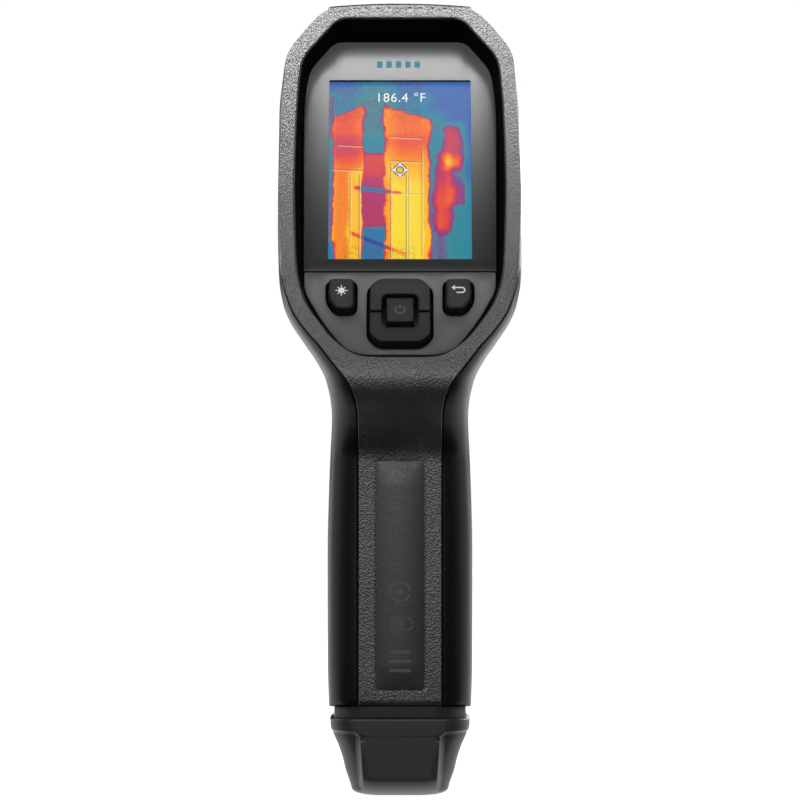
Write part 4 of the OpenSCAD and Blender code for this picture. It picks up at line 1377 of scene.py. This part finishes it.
# ---------------------------------------------------------------- materials
class Shade:
    """A material, with short ways to write its nodes."""

    def __init__(self, name):
        self.material = bpy.data.materials.new(name)
        self.material.use_nodes = True
        self.tree = self.material.node_tree
        self.surface = self.tree.nodes["Principled BSDF"]

    def node(self, kind, **values):
        """A new node with its inputs and settings."""
        n = self.tree.nodes.new(kind)
        for key, value in values.items():
            if key in n.inputs:
                n.inputs[key].default_value = value
            else:
                setattr(n, key, value)
        return n

    def feed(self, n, values):
        """Give a node's inputs numbers, colours or the outputs of other nodes."""
        for key, value in values.items():
            entry = n.inputs[key]
            if isinstance(value, bpy.types.NodeSocket):
                self.tree.links.new(value, entry)
            else:
                entry.default_value = (*value, 1) if entry.type == "RGBA" else value

    def place(self):
        """Where a point lies on its object."""
        return self.node("ShaderNodeTexCoord").outputs["Object"]

    def noise(self, where=None, **values):
        """A noise texture on the object, or on other coordinates."""
        n = self.node("ShaderNodeTexNoise", **values)
        self.feed(n, {"Vector": where or self.place()})
        return n.outputs["Fac"]

    def mix(self, factor, a, b):
        """A colour between two others."""
        n = self.node("ShaderNodeMix", data_type="RGBA")
        self.feed(n, {"Factor": factor, "A": a, "B": b})
        return n.outputs["Result"]

    def bump(self, height, strength, depth_mm):
        """Give the surface a relief."""
        n = self.node("ShaderNodeBump", Strength=strength, Distance=depth_mm * MM)
        self.feed(n, {"Height": height})
        self.feed(self.surface, {"Normal": n.outputs["Normal"]})

    def math(self, op, a, b=None, c=None, clamp=False):
        """One step of arithmetic on numbers or outputs."""
        n = self.node("ShaderNodeMath", operation=op, use_clamp=clamp)
        self.feed(n, {i: v for i, v in enumerate((a, b, c)) if v is not None})
        return n.outputs[0]

    def ramp(self, v, lo, hi, kind="SMOOTHSTEP", to=(0.0, 1.0)):
        """From to[0] at lo to to[1] at hi, held outside."""
        n = self.node("ShaderNodeMapRange", interpolation_type=kind)
        self.feed(n, {"Value": v, "From Min": lo, "From Max": hi, "To Min": to[0], "To Max": to[1]})
        return n.outputs["Result"]

    def band(self, v, lo, hi, soft):
        """1 between lo and hi, falling off over soft."""
        up = self.ramp(v, lo - soft / 2, lo + soft / 2)
        down = self.ramp(v, hi - soft / 2, hi + soft / 2)
        return self.math("SUBTRACT", up, down)

    def box(self, x, y, x0, x1, y0, y1, soft):
        """1 inside a rectangle, falling off over soft."""
        return self.math("MULTIPLY", self.band(x, x0, x1, soft), self.band(y, y0, y1, soft))


def near_grey(level):
    """A grey that leans a little to blue."""
    return level * 0.985, level, level * 1.01


def grain_plastic(name, dark, light, rough, grain_mm, grain_depth, grain_strength, specular):
    """Moulded plastic: spark-eroded grain in bump and colour, and a cloudy tone and roughness."""
    s = Shade(name)
    blotch = s.noise(Scale=55.0, Detail=4.0, Roughness=0.6)
    fleck = s.noise(Scale=1000.0 / grain_mm, Detail=3.0, Roughness=0.55)
    cells = s.node("ShaderNodeTexVoronoi", Scale=1000.0 / grain_mm, feature="SMOOTH_F1",
                   Smoothness=0.6)
    s.feed(cells, {"Vector": s.place()})
    tone = s.ramp(s.math("ADD", blotch, fleck), 0.78, 1.22, "LINEAR")
    s.feed(s.surface, {
        "Base Color": s.mix(tone, near_grey(dark), near_grey(light)),
        "Roughness": s.ramp(fleck, 0.3, 0.7, "LINEAR", (rough - 0.05, rough + 0.05)),
        "Specular IOR Level": specular})
    s.bump(s.math("ADD", fleck, cells.outputs["Distance"]), grain_strength, grain_depth)
    return s.material


def mark_ink(name, colour, glow=0.0):
    """Printed marks, faintly speckled; with glow, the lit marks of a display."""
    s = Shade(name)
    shade = s.mix(s.noise(Scale=4000.0, Detail=2.0), [c * 0.9 for c in colour], colour)
    s.feed(s.surface, {"Roughness": 0.5})
    if glow:
        s.feed(s.surface, {"Base Color": (0.01, 0.01, 0.01), "Specular IOR Level": 0.0,
                           "Emission Color": shade, "Emission Strength": glow})
    else:
        s.feed(s.surface, {"Base Color": shade})
    return s.material


def border_print():
    """The black print under the cover glass, under a polish, with a painted reflection: lighter towards
    its top and upper corners.
    """
    s = Shade("border_print")
    dust = s.noise(Scale=900.0, Detail=4.0)
    axes = s.node("ShaderNodeSeparateXYZ")
    s.feed(axes, {"Vector": s.place()})
    half_top = GLASS[0][0] * MM  # beyond it the glass's upper corners are cut off
    beyond = s.math("SUBTRACT", s.math("ABSOLUTE", axes.outputs["X"]), half_top)
    below_edge = s.math("MULTIPLY_ADD", s.math("MAXIMUM", beyond, 0.0), 1.18, axes.outputs["Z"])
    # painted reflection: the base colour rises from near-black to light grey towards the glass's top
    # edge and its upper corners, standing in for the top light's reflection
    rise = s.ramp(below_edge, 0.1895, 0.2005)
    shade = s.mix(s.math("MULTIPLY", rise, rise), (0.016, 0.0163, 0.017), (0.15, 0.152, 0.156))
    s.feed(s.surface, {"Base Color": shade, "Roughness": s.math("MULTIPLY_ADD", dust, 0.08, 0.21),
                       "Specular IOR Level": 0.2})
    return s.material


def clear_view():
    """Clear glass over the picture, with a faint soft shine."""
    s = Shade("clear_view")
    see = s.node("ShaderNodeBsdfTransparent")
    s.feed(see, {"Color": (0.97, 0.98, 0.98)})
    shine = s.node("ShaderNodeBsdfGlossy", Roughness=0.3)
    edge = s.node("ShaderNodeFresnel", IOR=1.04)
    mix = s.node("ShaderNodeMixShader")
    s.feed(mix, {"Fac": edge.outputs["Fac"], 1: see.outputs["BSDF"], 2: shine.outputs["BSDF"]})
    s.feed(s.tree.nodes["Material Output"], {"Surface": mix.outputs["Shader"]})
    s.tree.nodes.remove(s.surface)
    return s.material


def thermal_picture():
    """A generic heat picture: two hot panels, a warm spot and cooler walls, in false colour."""
    f = Shade("thermal_picture")
    face_mm = f.node("ShaderNodeUVMap", uv_map="face_mm").outputs["UV"]
    split = f.node("ShaderNodeSeparateXYZ")
    f.feed(split, {"Vector": face_mm})
    px, py = split.outputs["X"], split.outputs["Y"]
    drift = f.noise(face_mm, Scale=0.16, Detail=3.0)
    fine = f.noise(face_mm, Scale=1.1, Detail=5.0, Roughness=0.65)
    grit = f.math("SUBTRACT", fine, 0.5)
    shift = f.math("MULTIPLY_ADD", f.math("SUBTRACT", drift, 0.5), 3.4, grit)
    x = f.math("ADD", px, shift)
    y = f.math("ADD", py, shift)

    # the hot panels, each with a cooler upper part
    slant_left = f.math("MULTIPLY_ADD", x, -0.4, f.math("ADD", y, -5.4))
    slant_mid = f.math("MULTIPLY_ADD", x, 0.34, y)
    left = f.box(x, slant_left, -17.6, -9.9, -6, 45.0, 1.1)
    mid = f.box(x, slant_mid, -4.0, 7.8, -6, 45.2, 1.3)
    core = f.box(x, y, -2.2, 5.9, -5, 31, 1.4)
    left_heat = f.math("MULTIPLY_ADD", f.ramp(py, 34, 27), 0.16, 0.38)
    mid_heat = f.math("MULTIPLY_ADD", f.ramp(py, 38, 28), 0.17, 0.44)
    parts = [(f.math("MULTIPLY", left, left_heat), 1), (f.math("MULTIPLY", mid, mid_heat), 1),
             (f.math("MULTIPLY", core, f.ramp(py, 36, 16)), 0.22)]
    for x0, x1, y0, y1, soft, heat in (
        (-13.6, -9.9, -5, 28, 1.6, 0.14),
        (-9.9, -4.0, 12, 33, 1.8, 0.30),
        (11.6, 16.8, 29, 41, 3.4, 0.36),
        (9.4, 13.6, 11, 33, 2.6, 0.24),
        (12.5, 17, 18, 32, 3.0, 0.18),
        (-20, -17.2, 9, 50, 1.6, 0.16),
        # the cooler air beside the hot panels
        (-11, -2, 26, 60, 5, 0.10),
        (-19, 8, 38, 50, 4, 0.085),
        (7, 12.5, -9, 44, 4, 0.095),
        (8, 19.5, -9, 24, 7, 0.085),
    ):
        parts.append((f.box(x, y, x0, x1, y0, y1, soft), heat))
    total = f.math("MULTIPLY_ADD", f.ramp(py, 46, 6), 0.05, 0.115)
    for field, weight in parts:
        total = f.math("MULTIPLY_ADD", field, weight, total)
    # pipes across, door edges and the mottling of a low-resolution sensor
    for fall, low, high, x0, x1, cold in ((0.13, 21.2, 22.2, -12, 0.4, 0.3),
                                          (0.42, 4.6, 5.7, -13, 1.6, 0.26)):
        slope = f.math("MULTIPLY_ADD", px, fall, py)
        pipe = f.math("MULTIPLY", f.band(slope, low, high, 0.5), f.band(px, x0, x1, 1))
        total = f.math("MULTIPLY_ADD", pipe, -cold, total)
    lines, glints = 0.0, 0.0
    level_y = f.math("MULTIPLY_ADD", px, 0.05, py)
    for x0, x1, y0, y1 in ((1.5, 1.8, 3, 27), (-2.6, -2.35, 3, 30), (5.6, 5.85, 4, 34),
                           (2.2, 2.4, 3, 27), (-10.9, -10.6, 3, 27), (-13.2, -13.0, 8, 27)):
        lines = f.math("MAXIMUM", lines, f.box(px, py, x0, x1, y0, y1, 0.12))
        glint = f.box(px, py, x1 + 0.1, x1 + 0.32, y0, y1, 0.12)
        glints = f.math("MAXIMUM", glints, glint)
    for x0, x1, y0, y1 in ((-2.6, 5.8, 30.6, 30.9), (-16.5, -9.9, 34.4, 34.65),
                           (-2.6, 5.8, 37.4, 37.6), (-18, -9.9, 27.4, 27.7),
                           (-2.6, 5.8, 21.6, 21.75)):
        lines = f.math("MAXIMUM", lines, f.box(px, level_y, x0, x1, y0, y1, 0.12))
        glint = f.box(px, level_y, x0, x1, y0 - 0.36, y0 - 0.1, 0.12)
        glints = f.math("MAXIMUM", glints, glint)
    total = f.math("MULTIPLY_ADD", grit, 0.16, total)
    palette = f.node("ShaderNodeValToRGB")
    stops = [(0.0, (0.030, 0.06, 0.27)), (0.11, (0.03, 0.115, 0.42)), (0.20, (0.012, 0.20, 0.36)),
             (0.28, (0.02, 0.25, 0.29)), (0.36, (0.17, 0.05, 0.25)), (0.46, (0.46, 0.02, 0.12)),
             (0.56, (0.80, 0.05, 0.025)), (0.66, (0.93, 0.16, 0.006)), (0.78, (0.98, 0.38, 0.006)),
             (0.92, (1.0, 0.70, 0.03))]
    while len(palette.color_ramp.elements) < len(stops):
        palette.color_ramp.elements.new(0.5)
    for e, (p, c) in zip(palette.color_ramp.elements, stops):
        e.position = p
        e.color = (*c, 1)
    f.feed(palette, {"Fac": total})
    # dark contour scribbles where the visible picture is laid over the heat picture
    contour = f.noise(face_mm, Scale=0.42, Detail=6.0, Roughness=0.75)
    vein = f.math("ABSOLUTE", f.math("SUBTRACT", contour, 0.5))
    thin = f.math("SUBTRACT", 1.0, f.ramp(vein, 0.004, 0.018))
    high = f.math("MULTIPLY", f.ramp(py, 40, 45), f.band(px, -18.5, 5.5, 2))
    low = f.math("MULTIPLY", f.ramp(py, 10, 4), f.band(px, -15, 4, 2))
    ink = f.math("MULTIPLY", thin, f.math("MAXIMUM", high, low))
    ink = f.math("MAXIMUM", ink, f.math("MULTIPLY", lines, 0.62))
    ink = f.math("MULTIPLY", ink, 0.8, clamp=True)
    drawn = f.mix(ink, palette.outputs["Color"], (0.07, 0.012, 0.03))
    lit = f.mix(f.math("MULTIPLY", glints, 0.55), drawn, (1.0, 0.78, 0.42))
    f.feed(f.surface, {"Base Color": (0.003, 0.003, 0.004), "Roughness": 0.4,
                       "Specular IOR Level": 0.1, "Emission Color": lit, "Emission Strength": 1.0})
    return f.material


def screen_marks(white, dark, teal):
    """A generic reading in numbers, the aiming sign, and a plain row of marks over the view."""
    words = bpy.data.curves.new("reading", "FONT")
    words.body = "186.4 °F"
    words.align_x = "CENTER"
    words.size = 3.6 * MM
    words.space_character = 1.1
    words.extrude = 0.01 * MM
    obj = bpy.data.objects.new("display_reading_text", words)
    bpy.context.scene.collection.objects.link(obj)
    lie = ON_SCREEN @ Matrix.Translation((0.2, 47.6, -1.47))
    obj.matrix_world = Matrix.Scale(MM, 4) @ lie @ Matrix.Scale(1 / MM, 4)
    bpy.context.view_layer.update()
    mesh = bpy.data.meshes.new_from_object(obj.evaluated_get(bpy.context.evaluated_depsgraph_get()))
    mesh.transform(obj.matrix_world)
    bpy.data.objects.remove(obj)
    reading = bpy.data.objects.new("display_reading", mesh)
    bpy.context.scene.collection.objects.link(reading)
    mesh.materials.clear()
    mesh.materials.append(white)
    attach(reading, "housing")
    aim_y = VIEW[2] + 0.2
    for name, grow, z, ink in (("display_aim_shadow", 0.3, -1.48, dark),
                               ("display_aim", 0.0, -1.45, white)):
        shapes = [stroke(arc(1.25, 0, 359, 40, 0, aim_y), 0.28 + 2.2 * grow)]
        for k in range(4):
            shapes.append(star((0, aim_y), 1.1 - grow, 2.3 + grow, 0.55 + grow, 90 * k))
        flat_marks(name, shapes, ON_SCREEN, z, 0.02, "lcd_glass", ink)
    shapes = [rounded_box(1.5, 1.9, 0.4, 4, -0.4 + 2.5 * k, 57.7) for k in range(-2, 3)]
    flat_marks("display_border_marks", shapes, ON_SCREEN, -0.01, 0.03, "label_film", teal)


def metal(name, colour, rough, brushed=False, tint=None):
    """Metal with fine turning or brushing marks and a slightly uneven polish."""
    s = Shade(name)
    stretch = s.node("ShaderNodeMapping")
    s.feed(stretch, {"Vector": s.place(), "Scale": (900, 900, 5200 if brushed else 900)})
    lines = s.noise(stretch.outputs["Vector"], Scale=1.0, Detail=3.0)
    cloud = s.noise(Scale=260.0, Detail=4.0)
    shade = s.mix(cloud, [c * 0.82 for c in colour], colour)
    if tint:  # a coating whose colour turns with the angle it is seen at
        facing = s.node("ShaderNodeLayerWeight", Blend=0.55)
        shade = s.mix(facing.outputs["Facing"], shade, tint)
    s.feed(s.surface, {"Base Color": shade, "Metallic": 1.0,
                       "Roughness": s.math("MULTIPLY_ADD", lines, 0.16, rough - 0.08)})
    s.bump(lines, 0.25, 0.004)
    return s.material


def glassy(name, colour, rough, ior):
    """Clear moulded optic, faintly uneven."""
    s = Shade(name)
    wave = s.noise(Scale=400.0, Detail=2.0)
    s.feed(s.surface, {"Base Color": colour, "Transmission Weight": 1.0, "IOR": ior,
                       "Roughness": s.math("MULTIPLY_ADD", wave, 0.04, rough)})
    return s.material


def speckled(name, colour, other, scale, rough, specular=0.5):
    """A plain compound with a second colour showing in patches: masks, wraps, films and foams."""
    s = Shade(name)
    cloud = s.noise(Scale=scale, Detail=5.0, Roughness=0.6)
    s.feed(s.surface, {"Base Color": s.mix(cloud, colour, other), "Specular IOR Level": specular,
                       "Roughness": s.math("MULTIPLY_ADD", cloud, 0.2, rough - 0.1)})
    s.bump(cloud, 0.3, 0.01)
    return s.material


# ---------------------------------------------------------------- stage, camera, light
def stage_sheet(name, mesh, height, surface):
    """A flat sheet of the studio, which takes no part in the checks."""
    s = Shade(name)
    s.feed(s.surface, {"Roughness": 0.9, **surface})
    mesh.materials.append(s.material)
    sheet = bpy.data.objects.new(name, mesh)
    bpy.context.scene.collection.objects.link(sheet)
    sheet.location = (0, 0, height)
    return sheet


def studio_world():
    """White to the camera, almost dark to the surfaces."""
    world = bpy.data.worlds.new("studio")
    bpy.context.scene.world = world
    world.use_nodes = True
    tree = world.node_tree
    tree.nodes.clear()
    mix = tree.nodes.new("ShaderNodeMixShader")
    for entry, strength in ((1, 0.03), (2, 1.0)):
        sky = tree.nodes.new("ShaderNodeBackground")
        sky.inputs["Color"].default_value = (1, 1, 1, 1)
        sky.inputs["Strength"].default_value = strength
        tree.links.new(sky.outputs["Background"], mix.inputs[entry])
    path = tree.nodes.new("ShaderNodeLightPath")
    out = tree.nodes.new("ShaderNodeOutputWorld")
    tree.links.new(path.outputs["Is Camera Ray"], mix.inputs["Fac"])
    tree.links.new(mix.outputs["Shader"], out.inputs["Surface"])


OPEN = 180  # the spread of an area light without a grid, in degrees
LIGHTS = {  # place, aim, width and height in metres, watts, spread
    "top_soft": ((0.0, -0.2, 0.4), (0, -0.01, 0.235), (0.34, 0.1), 0.22, 38),
    "front_soft": ((-0.1, -1.0, 0.34), (0, 0, 0.1), (0.6, 0.26), 4.0, OPEN),
    "left_edge": ((-0.7, 0.62, 0.15), (0, 0, 0.1), (0.2, 0.9), 1.0, OPEN),
    "right_edge": ((0.7, 0.62, 0.15), (0, 0, 0.1), (0.2, 0.9), 0.9, OPEN),
    "left_soft": ((-1.0, 0.25, 0.42), (0, 0, 0.12), (0.9, 0.3), 6.0, OPEN),
    "right_soft": ((1.0, 0.25, 0.42), (0, 0, 0.12), (0.9, 0.3), 6.0, OPEN),
    "front_fill": ((0.35, 0.9, 0.5), (0, 0, 0.12), (0.6, 0.6), 10.0, OPEN)}


def stage_and_light():
    """The camera that matches the photo, a white floor, a black card and the lights."""
    scene = bpy.context.scene
    scene.view_settings.view_transform = "Standard"
    camera = bpy.data.objects.new("camera", bpy.data.cameras.new("camera"))
    scene.collection.objects.link(camera)
    camera.data.sensor_width = 36
    camera.data.lens = 106.785
    camera.data.clip_start = 0.01
    camera.location = (0, -0.635, 0.104)
    camera.rotation_euler = (math.radians(90), 0, 0)
    scene.camera = camera

    bm = bmesh.new()
    bmesh.ops.create_circle(bm, cap_ends=True, segments=96, radius=6)
    mesh = bpy.data.meshes.new("studio_floor")
    bm.to_mesh(mesh)
    bm.free()
    stage_sheet("studio_floor", mesh, -0.0004, {
        "Base Color": (0.3, 0.3, 0.3), "Specular IOR Level": 0.0,
        "Emission Color": (1, 1, 1), "Emission Strength": 1.0})

    mesh = bpy.data.meshes.new("black_card")
    corners = [(-1.2, -1.6, 0), (1.2, -1.6, 0), (0.5, -0.024, 0), (-0.5, -0.024, 0)]
    mesh.from_pydata(corners, [], [(0, 1, 2, 3)])
    card = stage_sheet("black_card", mesh, 0.0006, {"Base Color": (0.02, 0.02, 0.02)})
    card.visible_camera = False

    studio_world()
    for name, (place, aim, size, power, opening) in LIGHTS.items():
        light = bpy.data.lights.new(name, "AREA")
        light.shape = "RECTANGLE"
        light.size, light.size_y = size
        light.energy = power
        light.spread = math.radians(opening)
        obj = bpy.data.objects.new(name, light)
        scene.collection.objects.link(obj)
        obj.location = place
        obj.rotation_euler = (Vector(aim) - Vector(place)).to_track_quat("-Z", "Y").to_euler()


# ---------------------------------------------------------------- build
GRAINS = {  # dark and light tone, roughness, grain and its depth in mm, its strength, specular
    "cover_plastic": (0.009, 0.036, 0.37, 0.5, 0.085, 0.9, 0.7),
    "body_plastic": (0.0026, 0.004, 0.32, 0.3, 0.010, 0.3, 0.22),
    # painted shade: near-black and nearly without shine, for the walls of the screen's well and round
    # the key openings
    "well_black": (0.0015, 0.002, 0.7, 0.3, 0.01, 0.3, 0.04),
    "panel_plastic": (0.030, 0.036, 0.42, 0.25, 0.010, 0.3, 0.45),
    "key_plastic": (0.013, 0.017, 0.5, 0.25, 0.012, 0.35, 0.22),
    "cap_plastic": (0.020, 0.026, 0.42, 0.3, 0.012, 0.3, 0.5),
    "grip_rubber": (0.010, 0.014, 0.62, 0.3, 0.02, 0.4, 0.35),
    "bezel_plastic": (0.008, 0.012, 0.42, 0.35, 0.010, 0.3, 0.3),
    "trigger_plastic": (0.012, 0.016, 0.40, 0.3, 0.012, 0.35, 0.4),
    "label_film": (0.020, 0.024, 0.42, 0.6, 0.03, 0.5, 0.5),
    "inner_plastic": (0.05, 0.06, 0.5, 0.4, 0.01, 0.3, 0.5),
    "chip_plastic": (0.02, 0.026, 0.45, 0.2, 0.006, 0.3, 0.5)}
SPECKLES = {  # the two colours, scale, roughness, and the specular level where it is not 0.5
    "window_print": ((0.006, 0.006, 0.007), (0.009, 0.009, 0.01), 700, 0.18),
    "laser_tint": ((0.07, 0.006, 0.006), (0.10, 0.01, 0.01), 500, 0.12),
    "eye_glass": ((0.008, 0.01, 0.02), (0.012, 0.015, 0.03), 300, 0.12),
    "board_mask": ((0.02, 0.14, 0.07), (0.03, 0.19, 0.09), 500, 0.3),
    "lamp_board_white": ((0.74, 0.75, 0.74), (0.8, 0.8, 0.79), 400, 0.45),
    "phosphor": ((0.75, 0.55, 0.06), (0.85, 0.68, 0.12), 900, 0.5),
    "flex_film": ((0.5, 0.24, 0.04), (0.6, 0.32, 0.07), 300, 0.3),
    "cell_wrap": ((0.04, 0.14, 0.32), (0.06, 0.18, 0.38), 120, 0.3),
    "wire_insulation": ((0.45, 0.03, 0.02), (0.55, 0.05, 0.03), 300, 0.5),
    "foam": ((0.02, 0.02, 0.02), (0.045, 0.045, 0.045), 2500, 0.95, 0.1),
    "shutter_coating": ((0.012, 0.012, 0.012), (0.02, 0.02, 0.02), 600, 0.8, 0.2)}
INKS = {  # colour, and the glow of a lit mark
    "white_ink": ((0.75, 0.76, 0.78),),
    "glow_white": ((0.95, 0.96, 0.98), 1.0),
    "glow_dark": ((0.03, 0.03, 0.035),),
    "teal_ink": ((0.07, 0.26, 0.34), 1.0),
    "faint_ink": ((0.075, 0.075, 0.078),),
    "power_ink": ((0.05, 0.05, 0.052),)}
look = {}
for make, table in ((grain_plastic, GRAINS), (speckled, SPECKLES), (mark_ink, INKS)):
    for name, values in table.items():
        look[name] = make(name, *values)
look["steel"] = metal("steel", (0.62, 0.62, 0.64), 0.3, brushed=True)
look["brass"] = metal("brass", (0.72, 0.53, 0.22), 0.28, brushed=True)
look["barrel_metal"] = metal("barrel_metal", (0.03, 0.03, 0.033), 0.42)
look["germanium"] = metal("germanium", (0.16, 0.15, 0.19), 0.12, tint=(0.10, 0.16, 0.24))
look["lamp_clear"] = glassy("lamp_clear", (0.96, 0.97, 0.96), 0.03, 1.49)
look["clear"] = clear_view()
look["border_print"] = border_print()
look["thermal_picture"] = thermal_picture()

# the slots whose material has a name of its own
SLOT_LOOK = {"window_glass": "window_print", "lcd_glass": "window_print",
             "lamp_optic": "lamp_clear", "circuit_board": "board_mask"}
for part in frame["record"]["subparts"]:
    slot = part["material_slot"]
    for place in frame["nodes"][part["node"]].material_slots:
        place.material = look[SLOT_LOOK.get(slot, slot)]

stage_and_light()
for build, names in (
    (rear_cover, [["cover_plastic", "well_black"]]),
    (front_body, ["body_plastic"]),
    (display_window, ["border_print", "clear"]),
    (lcd_picture, ["thermal_picture", "body_plastic"]),
    (screen_marks, ["glow_white", "glow_dark", "teal_ink"]),
    (button_panel, [["panel_plastic", "well_black"]]),
    (keys, ["key_plastic", "white_ink", "power_ink"]),
    (handle_label, ["label_film", "faint_ink"]),
    (end_cap, ["cap_plastic"]),
    (cap_seal, ["grip_rubber"]),
    (port_flap, ["grip_rubber"]),
    (port_socket, ["steel", "chip_plastic"]),
    (grip_pad, ["grip_rubber"]),
    (trigger, ["trigger_plastic"]),
    (trigger_spring, ["steel"]),
    (front_bezel, ["bezel_plastic"]),
    (thermal_optics, ["barrel_metal", "germanium", "steel"]),
    (side_windows, ["window_print", "clear", "laser_tint"]),
    (camera_eye, ["inner_plastic", "eye_glass"]),
    (lamp, ["lamp_clear", "lamp_board_white", "phosphor"]),
    (screws_and_insert, ["steel", "brass"]),
):
    build(*[[look[n] for n in name] if isinstance(name, list) else look[name] for name in names])
